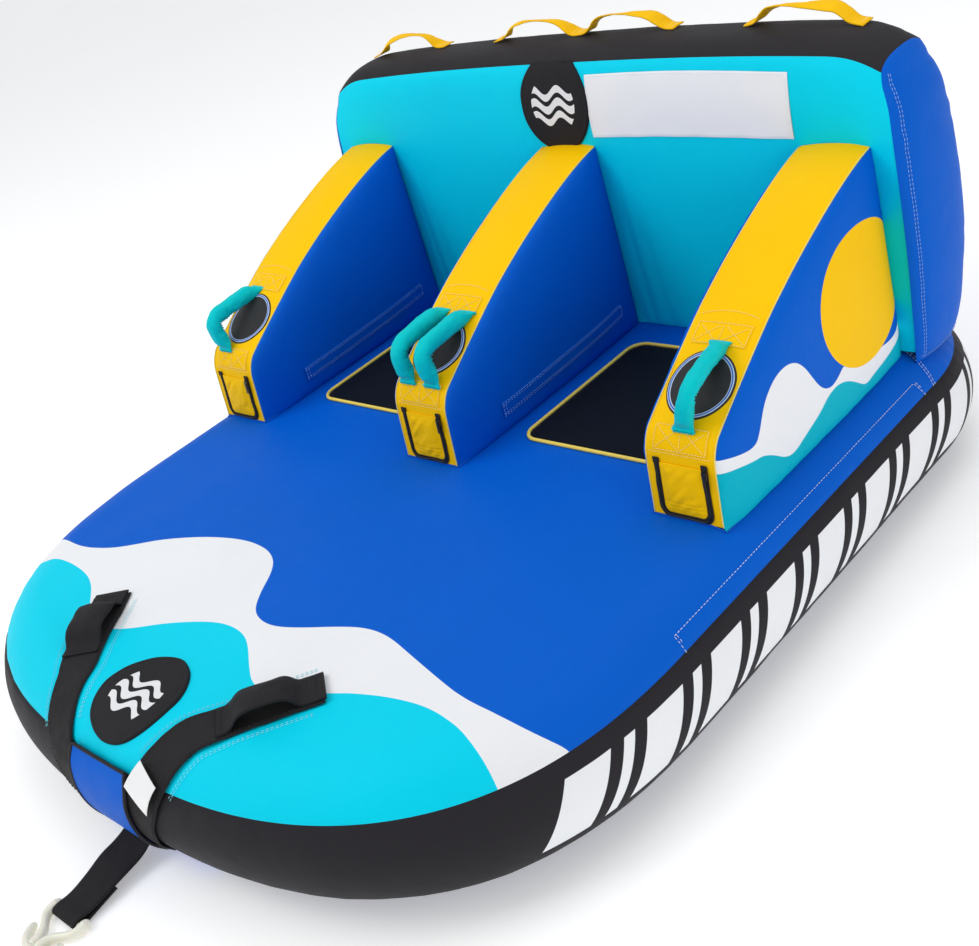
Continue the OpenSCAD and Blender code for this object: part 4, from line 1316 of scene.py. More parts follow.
def build_grip(name, x0, side, seed, lean_k=0.0):
    Q = resample(curve(GRIP_LINE, 0.001, smooth=3), 0.0016)
    n = len(Q)
    L = lengths(Q)
    Lt = L[-1]
    end = np.minimum(L, Lt - L)
    T = unit(np.gradient(Q, axis=0))
    N = np.stack([-T[:, 1], T[:, 0]], 1)  # towards the outside of the bend
    N = -N if N[n // 2, 1] < 0 else N
    wid = 0.0168 + 0.0062 * np.exp(-end / 0.007) + 0.0010 * n1(L / 0.011, seed) + 0.0007 * n1(L / 0.005, seed + 1)
    thk = 0.0142 * smooth(end, -0.004, 0.028) + 0.0026
    thk = thk + 0.0011 * n1(L / 0.012, seed + 2) * smooth(end, 0, 0.02)
    lean = 0.004 * n1(L / 0.06, seed + 3) * smooth(end, 0, 0.02)
    k = 36
    a = np.linspace(0, TAU, k + 1)[:-1]
    ca, sa = np.cos(a), np.sin(a)
    bend = np.exp(-(((L - 0.062) / 0.020) ** 2))
    G = np.zeros((n, k, 3))
    for j in range(k):
        c = np.sign(ca[j]) * abs(ca[j]) ** 0.85
        s = np.sign(sa[j]) * abs(sa[j]) ** 0.95
        rr = np.ones(n)
        edge = np.exp(-((abs(sa[j]) / 0.28) ** 2))
        rr = rr + edge * 0.095 * n1(L / 0.0045 + (3.3 if ca[j] > 0 else 0), seed + 4)
        inner = max(0.0, 0.25 - sa[j])
        rr = rr - inner * (0.25 + 0.75 * bend) * 0.36 * np.abs(np.sin(L / 0.0072 * math.pi + seed))
        rr = rr + 0.055 * vnoise(np.stack([L / 0.014, np.full(n, ca[j] * 2.0), np.full(n, sa[j] * 2.0 + seed)], 1), seed + 5)
        rad = thk * s * rr
        P2 = Q + N * rad[:, None]
        xx = x0 + lean + wid * c * rr
        off = P2[:, 1]
        off = np.maximum(off, 0.0034)
        G[:, j] = slope_pt(xx + lean_k * np.maximum(off - 0.010, 0), P2[:, 0], off)
    M = Mesh()
    M.grid(G, cv=True)
    base = 0
    M.F.append([j for j in range(k)][::-1])
    M.F.append([(n - 1) * k + j for j in range(k)])
    M.UV.append(np.zeros((2 * k, 2)))
    M.M += [0, 0]
    # frayed cut edge at both ends
    o = M.build("grip_" + name + "_sleeve", m_neo, body=None, repl=["grip_sleeve_" + name, "grip_webbing_" + name], slot="cyan_neoprene")
    st = slope_pt(x0, 0.07, 0.007) + SH
    en = slope_pt(x0, 0.07, 0.028) + SH
    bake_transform(o)
    F = Mesh()
    for u, sg in ((Q[0], -1), (Q[-1], 1)):
        for j in range(21):
            q = (j / 20 - 0.5) * 2
            z = 0.0042 + 0.0012 * math.sin(j * 2.4)
            p0 = slope_pt(x0 + q * 0.0195, u[0] - sg * 0.004, z)
            p1 = slope_pt(x0 + q * 0.0200 + 0.0005 * math.sin(j * 5.1), u[0] + sg * (0.0022 + 0.0009 * math.sin(j * 3.7)), 0.0036)
            tube(F, A([p0, (p0 + p1) / 2, p1]), [0.0013, 0.0014, 0.0007], 5, up=SL_O)
    F.build("grip_" + name + "_ends", m_neo, slot="cyan_neoprene")


for i, (nm, (gx, sd)) in enumerate(GRIPS.items()):
    build_grip(nm, gx, sd, 100 + 10 * i, lean_k={"right": 0.42, "left": -0.10}.get(nm, 0.0))


# ---------------------------------------------------------------- seats
def rrect(x0, y0, x1, y1, r, step=0.004):
    a = np.radians(np.linspace(0, 90, 12))
    c = [(x1 - r, y1 - r, 0), (x0 + r, y1 - r, 90), (x0 + r, y0 + r, 180), (x1 - r, y0 + r, 270)]
    P = [(cx + r * math.cos(t + math.radians(b)), cy + r * math.sin(t + math.radians(b))) for cx, cy, b in c for t in a]
    P = A(P + P[:1])
    return resample(P, step)[:-1]


def seat_bump(g, col):
    return col


def build_seats():
    Pp = Mesh()
    for i, (nm, sx) in enumerate((("left", -1), ("right", 1))):
        x = sx * 0.3
        O = rrect(x - 0.168, 0.124, x + 0.168, 0.490, 0.030)
        C = A([x, 0.307])
        spine0, spine1 = 0.30, 0.315
        rho = np.r_[1.0, 0.992, 0.98, 0.965, np.linspace(0.94, 0.0, 34)]
        sp = np.stack([np.full(len(O), x), np.clip(O[:, 1], 0.29, 0.325)], 1)
        G = sp[:, None] + rho[None, :, None] * (O - sp)[:, None]
        d = np.linalg.norm(O[:, None] - G, axis=2)
        h = 0.0006 + 0.0050 * smooth(d, 0.0, 0.012) ** 0.6 + 0.0012 * smooth(d, 0.01, 0.12)
        q = np.stack([(G[..., 0] / 0.05).ravel(), (G[..., 1] / 0.05).ravel(), np.full(h.size, i + 0.5)], 1)
        h = h + 0.0006 * vnoise(q, 71).reshape(h.shape) * smooth(d, 0, 0.03)
        for k in range(-4, 5):
            pass
        P = np.concatenate([G, h[..., None]], 2)
        M = Mesh()
        uv = np.concatenate([G, G[:1]], 0)
        M.grid(P, cu=True, uv=uv)
        O0 = np.concatenate([O, np.zeros((len(O), 1)) - 0.001], 1)
        M.grid(np.stack([O0, P[:, 0]], 1), cu=True)
        o = M.build("seat_pad_cloth_" + nm, m_pad, repl="seat_pad_" + nm, slot="pad_fabric")
        weld(o)
        # piping cord round the pad, in the pale tint that is a painted highlight
        R = rrect(x - 0.1715, 0.1205, x + 0.1715, 0.4935, 0.034, 0.003)
        R = np.concatenate([R, 0.0030 + 0 * R[:, :1]], 1)
        tube(Pp, R, 0.0036, 10, closed=True)
        R2 = rrect(x - 0.176, 0.116, x + 0.176, 0.498, 0.038, 0.004)
        L2 = lengths(R2)
    Pp.build("seat_piping_cord", m_piping_painted_highlight, repl="seat_pad_piping", slot="gold_nylon")


build_seats()


# ---------------------------------------------------------------- nose harness
OVER = A([(0.186, 80), (0.167, 65), (0.150, 50), (0.133, 35), (0.113, 18), (0.094, 0), (0.078, -18), (0.066, -34)])
S_END_XY, S_MID_XY = A([0.305, -0.564]), A([0.203, -0.700])


def strap_path(sx):
    flat = [(*S_END_XY, 0.0), (*((S_END_XY + S_MID_XY) / 2), 0.0), (*S_MID_XY, 0.0)]
    ov = nose_at(OVER[:, 0], OVER[:, 1], 0.0)
    P = curve(np.vstack([flat, ov]), 0.004, smooth=3)
    P = conform(P, 0.002)
    P[:, 0] *= sx
    return P


def build_harness():
    for nm, sx in (("left", -1), ("right", 1)):
        P = strap_path(sx)
        up = unit(conform(P, 0.014) - P)
        L = lengths(P)
        M = Mesh()

        def wave(l, x, sx=sx):
            q = np.stack([l / 0.030, np.full(len(l), x * 1.6 + sx * 3), 0 * l], 1)
            q2 = np.stack([l / 0.012, np.full(len(l), x * 2.2 + sx * 3), 0 * l + 5], 1)
            return 0.0013 * (vnoise(q, 81) + 0.6) * (0.4 + 0.6 * abs(x)) + 0.0005 * vnoise(q2, 82)

        half = 0.0370 + 0.0012 * n1(L / 0.05, 83 + (sx > 0)) - 0.003 * smooth(L, L[-1] - 0.10, L[-1])
        cloth_band(M, P, up, half, 0.0010, 0.0036, nx=12, wave=wave)
        M.build("harness_strap_" + nm, m_harness, repl="nose_strap_" + nm, slot="black_webbing")
        T = Mesh()
        Tn, S, U = frames(P, up)
        for e in (-1, 1):
            Q = conform(P + S * (half * 0.90 * e)[:, None], 0.0056)
            stitches(T, Q[2:-2], up[2:-2], length=0.005, gap=0.0022, w=0.0009)
        T.build("harness_stitches_" + nm, m_thread_dark, slot="black_webbing")
        # the grab loop: a folded band that stands up off the strap
        d = unit(S_MID_XY - S_END_XY)
        dv = A([d[0] * sx, d[1], 0])
        o3 = A([S_END_XY[0] * sx, S_END_XY[1], 0.0052])
        line = [(-0.004, 0.0012), (0.030, 0.0015), (0.040, 0.006), (0.050, 0.020), (0.064, 0.0285), (0.092, 0.031), (0.120, 0.0285),
                (0.134, 0.020), (0.146, 0.006), (0.156, 0.0014), (0.172, 0.0012)]
        C = curve(line, 0.001, smooth=3)
        C = resample(C, 0.003)
        PL3 = o3 + C[:, :1] * dv + C[:, 1:] * A([0, 0, 1])
        PL3[:, 2] += top_z(PL3[:, 0], PL3[:, 1])
        Lc = lengths(PL3)
        Tt, Ss, Uu = frames(PL3, (0, 0, 1))
        mid = np.exp(-(((Lc - Lc[-1] / 2) / 0.045) ** 2))
        M = Mesh()
        side = Ss * sx
        xs = np.linspace(-1, 1, 15)
        hw = 0.0335 + 0.0015 * n1(Lc / 0.03, 85)
        top, bot = [], []
        for x in xs:
            droop = mid * (0.010 * (x > 0) * x**2 + 0.004 * (x < 0) * x**2)  # edges fold down
            crumple = 0.0016 * vnoise(np.stack([Lc / 0.022, np.full(len(Lc), x * 2.0 + sx), 0 * Lc], 1), 86) * smooth(np.minimum(Lc, Lc[-1] - Lc), 0, 0.03)
            c = PL3 + side * (hw * x * (1 - 0.05 * mid))[:, None] - A([0, 0, 1]) * droop[:, None] + Uu * crumple[:, None]
            top.append(c + Uu * 0.0022)
            bot.append(c - Uu * 0.0010)
        G = np.stack(top + bot[::-1], 1)
        M.grid(G, cv=True, flip=sx > 0)
        k = G.shape[1]
        for off, rv in ((0, False), ((len(PL3) - 1) * k, True)):
            for j in range(14):
                f = [off + j, off + j + 1, off + k - 2 - j, off + k - 1 - j]
                M.F.append(f if not rv else f[::-1])
                M.UV.append(np.zeros((4, 2)))
                M.M.append(0)
        M.build("harness_loop_" + nm, m_harness, repl="nose_loop_" + nm, slot="black_webbing")
        T = Mesh()
        for u0 in (0.010, 0.024, 0.150, 0.164):
            w = np.linspace(-0.028, 0.028, 14)
            Q = o3 + u0 * dv + w[:, None] * A([-dv[1], dv[0], 0]) + A([0, 0, 0.0042])
            Q[:, 2] += top_z(Q[:, 0], Q[:, 1])
            stitches(T, Q, (0, 0, 1), length=0.004, gap=0.0018, w=0.0009)
        T.build("harness_loop_stitches_" + nm, m_thread_dark, slot="black_webbing")
    # blue wrap round the nose with a black bound edge
    v = np.linspace(37, -40, 60)
    W = Mesh()
    P = nose_at(0 * v, v, 0.009)
    up = nose_up(0 * v, v)
    L = lengths(P)

    def wwave(l, x):
        return 0.0012 * vnoise(np.stack([l / 0.05, np.full(len(l), x * 1.5), 0 * l], 1), 88) + 0.0025 * abs(x) ** 3 * 0

    half = 0.0800 - 0.010 * smooth(L, 0.09, L[-1]) + 0.003 * np.exp(-((L - 0.03) / 0.02) ** 2)
    cloth_band(W, P, up, half, 0.0078, 0.0030, nx=20, wave=wwave)
    W.build("tow_wrap_cloth", m_blue, repl="tow_wrap", slot="blue_nylon")
    B = Mesh()
    for e in (-1, 1):
        Tn, S, U = frames(P, up)
        Q = conform(P + S * (half * e)[:, None], 0.0096)
        tube(B, Q, 0.0038, 8, up=(0, -1, 0), flat=0.75)
    for k, row in ((0, 1), (-1, 1)):
        x = np.linspace(-1, 1, 30) * half[k]
        Q = nose_at(x, 0 * x + v[k], 0.0094)
        tube(B, Q, 0.0030 if k == 0 else 0.0040, 8, up=(0, 0, 1), flat=0.75)
    B.build("tow_wrap_binding", m_black, slot="black_nylon")
    # lower patch
    x = np.linspace(-0.155, 0.155, 60)
    P = nose_at(x, 0 * x - 60, 0.0)
    P = conform(P, 0.0005)
    cloth_band(W2 := Mesh(), P, unit(conform(P, 0.012) - P), 0.0245, 0.0012, 0.0022, nx=8)
    W2.build("nose_lower_patch", m_blue, repl="nose_patch", slot="blue_nylon")
    # tow strap: folded webbing that comes from under the wrap and turns round the connector's bar
    line = [(-0.806, -0.196), (-0.820, -0.216), (-0.845, -0.2275), (-0.88, -0.2325), (-0.92, -0.2385), (-0.955, -0.2435), (-0.978, -0.2412)]
    C = resample(curve(line, 0.002, smooth=3), 0.004)
    a = np.radians(np.linspace(95, 320, 20))
    eye = np.stack([-0.985 - 0.0078 * np.cos(a) * 0 + 0.0078 * np.cos(a), -0.250 + 0.0078 * np.sin(a)], 1)
    C = np.vstack([C, eye[::1]])
    back = resample(A([(-0.975, -0.2555), (-0.955, -0.2525), (-0.930, -0.2480), (-0.905, -0.2440)]), 0.004)
    C = resample(curve(np.vstack([C, back]), 0.001, smooth=1), 0.003)
    P = np.stack([0 * C[:, 0], C[:, 0], C[:, 1]], 1)
    L = lengths(P)
    Tn, S, U = frames(P, (1, 0, 0))
    # S here lies in the strap's plane normal; build the section by hand: width is along x
    nrm = unit(np.cross(A([1, 0, 0]), Tn))
    main = smooth(L, 0.19, 0.05)
    tw = np.radians(9) * np.sin(L / 0.17 * math.pi) * main
    M = Mesh()
    xs = np.linspace(-1, 1, 13)
    rows_t, rows_b = [], []
    for x in xs:
        crm = 0.0014 * vnoise(np.stack([L / 0.030, np.full(len(L), x * 1.7), 0 * L], 1), 91) * main
        shift = 0.006 * np.sin(L / 0.17 * math.pi) * main
        c = P + A([1, 0, 0]) * (0.0345 * x * np.cos(tw) - shift)[:, None] + nrm * (0.0345 * x * np.sin(tw) + crm)[:, None]
        rows_t.append(c + nrm * 0.0017)
        rows_b.append(c - nrm * 0.0013)
    G = np.stack(rows_t + rows_b[::-1], 1)
    G[..., 2] = np.maximum(G[..., 2], -0.2596)
    M.grid(G, cv=True)
    k = G.shape[1]
    for off, rv in ((0, False), ((len(P) - 1) * k, True)):
        for j in range(12):
            f = [off + j, off + j + 1, off + k - 2 - j, off + k - 1 - j]
            M.F.append(f if not rv else f[::-1])
            M.UV.append(np.zeros((4, 2)))
            M.M.append(0)
    o = M.build("tow_strap_webbing", m_harness, body=None, repl="tow_strap", slot="black_webbing")
    tuple(A([0, -0.808, -0.200]) + SH)
    tuple(A([0, -0.850, -0.228]) + SH)
    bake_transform(o)
    T = Mesh()
    for xx in (-0.029, 0.029):
        q = np.linspace(0.062, 0.165, 40)
        Q = np.stack([np.interp(q, L, P[:, k]) for k in range(3)], 1)
        nn = unit(np.stack([np.interp(q, L, nrm[:, k]) for k in range(3)], 1))
        tt = np.interp(q, L, tw)
        sh = np.interp(q, L, 0.006 * np.sin(L / 0.17 * math.pi) * main)
        Q = Q + A([1, 0, 0]) * (xx * np.cos(tt) - sh)[:, None] + nn * (xx * np.sin(tt) + 0.0026)[:, None]
        stitches(T, Q, nn, length=0.005, gap=0.002, w=0.0010)
    T.build("tow_strap_stitches", m_thread_dark, body="tow_strap_body", slot="black_webbing")


m_harness = cloth("harness_black", (40, 38, 40), pitch=0.0020, rough=0.60, crinkle=1.6, sheen=0.03, weave=0.9)
build_harness()


# ---------------------------------------------------------------- badges, label, handles
def back_at(x, z, lift=0.0):
    """A point on the backrest's front cloth, and its normal."""
    x, z = np.broadcast_arrays(A(x, float), A(z, float))
    i = np.clip((x + BW) / (2 * BW) * (nx - 1), 0, nx - 1.001)
    zz = BACK_P[nx // 2, :, 2]
    j = np.clip(np.interp(z, zz, np.arange(len(zz))), 0, len(zz) - 1.001)

    def at(i, j):
        i, j = np.clip(i, 0, nx - 1.001), np.clip(j, 0, len(zz) - 1.001)
        a, b = i.astype(int), j.astype(int)
        u, v = (i - a)[..., None], (j - b)[..., None]
        return (BACK_P[a, b] * (1 - u) + BACK_P[a + 1, b] * u) * (1 - v) + (BACK_P[a, b + 1] * (1 - u) + BACK_P[a + 1, b + 1] * u) * v

    P = at(i, j)
    N = unit(np.cross(at(i + 2, j) - at(i - 2, j), at(i, j + 1) - at(i, j - 1)))
    N = np.where((N[..., 1] > 0)[..., None], -N, N)
    return P + N * A(lift)[..., None], N


def badge(M, place, rx, ry, seed):
    """A padded round badge with a rolled edge. place(u, v, lift) puts it on its cloth."""
    r = A([0, 0.12, 0.24, 0.36, 0.48, 0.58, 0.66, 0.72, 0.76, 0.80, 0.84, 0.88, 0.91, 0.94, 0.965, 0.985, 1.0, 1.004])
    lift = A([6.4, 6.4, 6.3, 6.3, 6.2, 6.1, 6.0, 5.9, 5.9, 5.8, 5.5, 4.9, 4.7, 5.4, 5.2, 4.2, 2.2, -1.5]) * 0.001
    a = np.linspace(0, TAU, 121)[:-1]
    rho = 1 + 0.035 * np.exp(-(((a - TAU / 4) / 0.30) ** 2)) + 0.012 * n1(a / 0.35, seed)
    rho = rho + (rho[0] - rho[-1]) * np.linspace(0, 1, len(a)) ** 6
    R, AA = np.meshgrid(r, a, indexing="ij")
    u, v = R * rho[None] * rx * np.cos(AA), R * rho[None] * ry * np.sin(AA)
    wob = 0.0007 * vnoise(np.stack([(u / 0.02).ravel(), (v / 0.02).ravel(), np.full(u.size, seed + 0.5)], 1), seed).reshape(u.shape)
    P = place(u, v, lift[:, None] + wob * (R < 0.99))
    M.grid(P, cv=True, uv=np.stack([np.concatenate([u, u[:, :1]], 1), np.concatenate([v, v[:, :1]], 1)], 2), flip=False)


def badge_mat():
    """Black cloth with three plain waves."""
    g = Mat("badge_cloth")
    o = g.obj()
    u, v = g.uv()
    rr = g.math("SQRT", g.math("ADD", g.math("MULTIPLY", u, u), g.math("MULTIPLY", v, v)))
    white = 0.0
    wave = g.math("MULTIPLY", g.math("SINE", g.math("MULTIPLY", u, TAU / 0.062)), 0.0085)
    inside = g.edge(g.math("SUBTRACT", 0.0560, rr))
    for y0, th in ((0.022, 0.0068), (-0.002, 0.0078), (-0.026, 0.0068)):
        w = g.math("SUBTRACT", th, g.math("ABSOLUTE", g.math("SUBTRACT", g.math("SUBTRACT", v, wave), y0)))
        white = g.math("MAXIMUM", white, g.math("MULTIPLY", g.edge(w), inside))
    col = g.mix(white, lin((36, 35, 38)), lin((232, 232, 235)))
    h = weave_height(g, 0.0018)
    col = g.shade(col, g.math("MULTIPLY_ADD", h, 0.5, 0.5), 0.12)
    col = g.shade(col, g.noise(o, 30.0, 3.0), 0.10)
    g.link(col, g.p.inputs["Base Color"])
    g.p.inputs["Roughness"].default_value = 0.6
    g.p.inputs["Specular IOR Level"].default_value = 0.12
    g.bumps([(h, 0.00018, 0.6), (white, 0.0008, 0.5), (g.noise(o, 60.0, 3.0), 0.001, 0.25)])
    return g.m


def label_mat():
    """Plain white film."""
    g = Mat("label_film")
    o = g.obj()
    col = g.mix(g.noise(o, 20.0, 2.0), lin((236, 237, 240)), lin((242, 242, 244)))
    g.link(col, g.p.inputs["Base Color"])
    g.p.inputs["Roughness"].default_value = 0.42
    g.p.inputs["Specular IOR Level"].default_value = 0.2
    g.bumps([(g.noise(o, 60.0, 3.0), 0.0006, 0.3)])
    return g.m


m_badge, m_label = badge_mat(), label_mat()


def build_badges():
    M = Mesh()

    def on_back(u, v, lift):
        return back_at(-0.013 + u, 0.476 + v, lift)[0]

    badge(M, on_back, 0.0870, 0.0960, 5)

    def on_nose(u, v, lift):
        V = np.stack([-0.002 + u, -0.716 + v, 0 * u], 2)
        # lay it along the surface: past the start of the rounded edge it bends down
        P = conform(roll(V.reshape(-1, 3)), np.broadcast_to(lift, u.shape).ravel())
        return P.reshape(u.shape + (3,))

    badge(M, on_nose, 0.0900, 0.0900, 6)
    o = M.build("badge_pads", m_badge, repl="emblem_badges", slot="black_nylon")
    weld(o)
    L = Mesh()
    uu, vv = np.linspace(0, 0.450, 90), np.linspace(0, 0.120, 28)
    U, V = np.meshgrid(uu, vv, indexing="ij")
    e = np.minimum(np.minimum(U, 0.450 - U), np.minimum(V, 0.120 - V))
    P, N = back_at(0.072 + U, 0.409 + V + 0.002 * np.sin(U * 9), 0.0009 + 0.0010 * smooth(e, -0.001, 0.003) + 0.0010 * np.exp(-e / 0.006) * (1 + np.sin(U * 70 + V * 40)) * 0.5)
    L.grid(P, uv=np.stack([U, V], 2), flip=False)
    # underside
    P2, N2 = back_at(0.072 + U, 0.409 + V + 0.002 * np.sin(U * 9), 0.0002)
    L.grid(P2, uv=np.stack([0 * U, 0 * V], 2), flip=True)
    L.build("label_sheet", m_label, repl="label_patches", slot="white_label")
    T = Mesh()
    Q = rrect(0.076, 0.413, 0.518, 0.525, 0.002, 0.003)
    Q = np.vstack([Q, Q[:1]])
    P, N = back_at(Q[:, 0], Q[:, 1] + 0.002 * np.sin((Q[:, 0] - 0.072) * 9), 0.0028)
    stitches(T, P, N, w=0.0008, length=0.004, gap=0.0018)
    T.build("label_stitches", m_thread, slot="white_label")
    # blank care tag tucked beside the wrap
    W = Mesh()
    c = A([[0.0867, 30.0], [0.117, 50.0], [0.172, 39.0], [0.1455, 17.5]])
    a, b = np.meshgrid(np.linspace(0, 1, 14), np.linspace(0, 1, 14), indexing="ij")
    q = ((1 - a) * (1 - b))[..., None] * c[0] + (a * (1 - b))[..., None] * c[1] + (a * b)[..., None] * c[2] + ((1 - a) * b)[..., None] * c[3]
    base = nose_at(q[..., 0], q[..., 1], 0.0125)
    up = nose_up(q[..., 0], q[..., 1])
    base = base + up * (0.0030 * np.sin(a * 2.2) * (0.5 + b))[..., None]
    W.grid(base + up * 0.0004, uv=np.stack([0 * a - 1, 0 * b - 1], 2))
    W.grid(base - up * 0.0004, uv=np.stack([0 * a - 1, 0 * b - 1], 2), flip=True)
    W.build("care_tag_blank", m_film, slot="white_label")


def roll(V):
    """Plan points beyond the start of the rounded edge, moved so that they lie as far round the edge as they were beyond it."""
    V = V.copy()
    IC, IN = INNER[::2], ON[::2]
    for k in range(0, len(V), 4000):
        p = V[k : k + 4000]
        j = np.linalg.norm(p[:, None, :2] - IC[None], axis=2).argmin(1)
        d = ((p[:, :2] - IC[j]) * IN[j]).sum(1)
        c = p[:, :2] - IN[j] * d[:, None]
        t = np.clip(np.maximum(d, 0) / RR, 0, 1.5)
        q = c + IN[j] * (RR * np.sin(t))[:, None]
        V[k : k + 4000, :2] = np.where((d > 0)[:, None], q, p[:, :2])
        V[k : k + 4000, 2] = np.where(d > 0, RR * (np.cos(t) - 1), 0)
    return V


build_badges()

HANDLE_X = (-0.505, -0.115, 0.115, 0.505)


def build_handles():
    zt = TOP_P[..., 2].max(1)
    xt = TOP_P[:, 0, 0]
    for i, hx in enumerate(HANDLE_X):
        M, T = Mesh(), Mesh()
        line = [(-0.114, 0.0016), (-0.100, 0.0022), (-0.088, 0.0080), (-0.078, 0.0220), (-0.062, 0.0370), (-0.036, 0.0440), (0.004, 0.0462),
                (0.046, 0.0448), (0.072, 0.0390), (0.086, 0.0230), (0.094, 0.0080), (0.104, 0.0022), (0.120, 0.0016)]
        C = resample(curve(line, 0.001, smooth=3), 0.003)
        x = hx + C[:, 0]
        sag = np.interp(x, xt, zt) - 0.551
        P = np.stack([x, 0.700 + 0 * x, 0.5525 + C[:, 1] * 0.74 + sag], 1)
        L = lengths(P)
        Tn, S, U = frames(P, (0, 1, 0))
        nrm = unit(np.cross(Tn, A([0, -1, 0])))
        nrm = np.where((nrm[:, 2] < 0)[:, None], -nrm, nrm)
        end = np.minimum(L, L[-1] - L)
        lift_off = smooth(end, 0.018, 0.050)
        half = 0.0185 - 0.0035 * lift_off + 0.0016 * n1(L / 0.02, 120 + i)
        tw = np.radians(16) * np.sin(L / L[-1] * TAU + i) * lift_off
        drift = -0.010 * smooth(end, 0.0, 0.05) * (0.4 + 0.6 * np.sin(L / L[-1] * math.pi)) + 0.003 * n1(L / 0.09, 130 + i) * lift_off
        xs = np.linspace(-1, 1, 11)
        top, bot = [], []
        for q in xs:
            fold = 0.0030 * lift_off * (q**2) * (0.5 + 0.5 * np.sin(L / 0.03 + i))
            cr = 0.0011 * vnoise(np.stack([L / 0.016, np.full(len(L), q * 1.8), np.full(len(L), i + 0.5)], 1), 140)
            c = P + A([0, 1, 0]) * (half * q * np.cos(tw) + drift)[:, None] + nrm * (half * q * np.sin(tw) - fold + cr)[:, None]
            top.append(c + nrm * 0.0014)
            bot.append(c - nrm * 0.0010)
        G = np.stack(top + bot[::-1], 1)
        M.grid(G, cv=True)
        k = G.shape[1]
        for off, rv in ((0, False), ((len(P) - 1) * k, True)):
            for j in range(10):
                f = [off + j, off + j + 1, off + k - 2 - j, off + k - 1 - j]
                M.F.append(f if not rv else f[::-1])
                M.UV.append(np.zeros((4, 2)))
                M.M.append(0)
        o = M.build("carry_handle_%d" % (i + 1), m_handle, body=None, repl="back_handle_%d" % (i + 1), slot="gold_nylon")
        base = A([hx, 0.700, 0.556]) + SH
        tuple(base + A([0, 0, 0.030]))
        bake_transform(o)
        for sx in (-1, 1):
            x0 = hx + (sx * 0.106 + 0.003)
            for dx in (-0.007, 0.007):
                y = np.linspace(-0.014, 0.014, 10)
                Q = np.stack([0 * y + x0 + dx, 0.700 + y - 0.002, 0 * y + 0.5565 + float(np.interp(x0, xt, zt)) - 0.551], 1)
                stitches(T, Q, (0, 0, 1), length=0.004, gap=0.0016, w=0.0009)
        T.build("handle_stitches_%d" % (i + 1), m_thread_gold, slot="gold_nylon")


m_handle = cloth("handle_gold", (255, 198, 20), pitch=0.0018, rough=0.6, crinkle=1.8, weave=0.9)
build_handles()


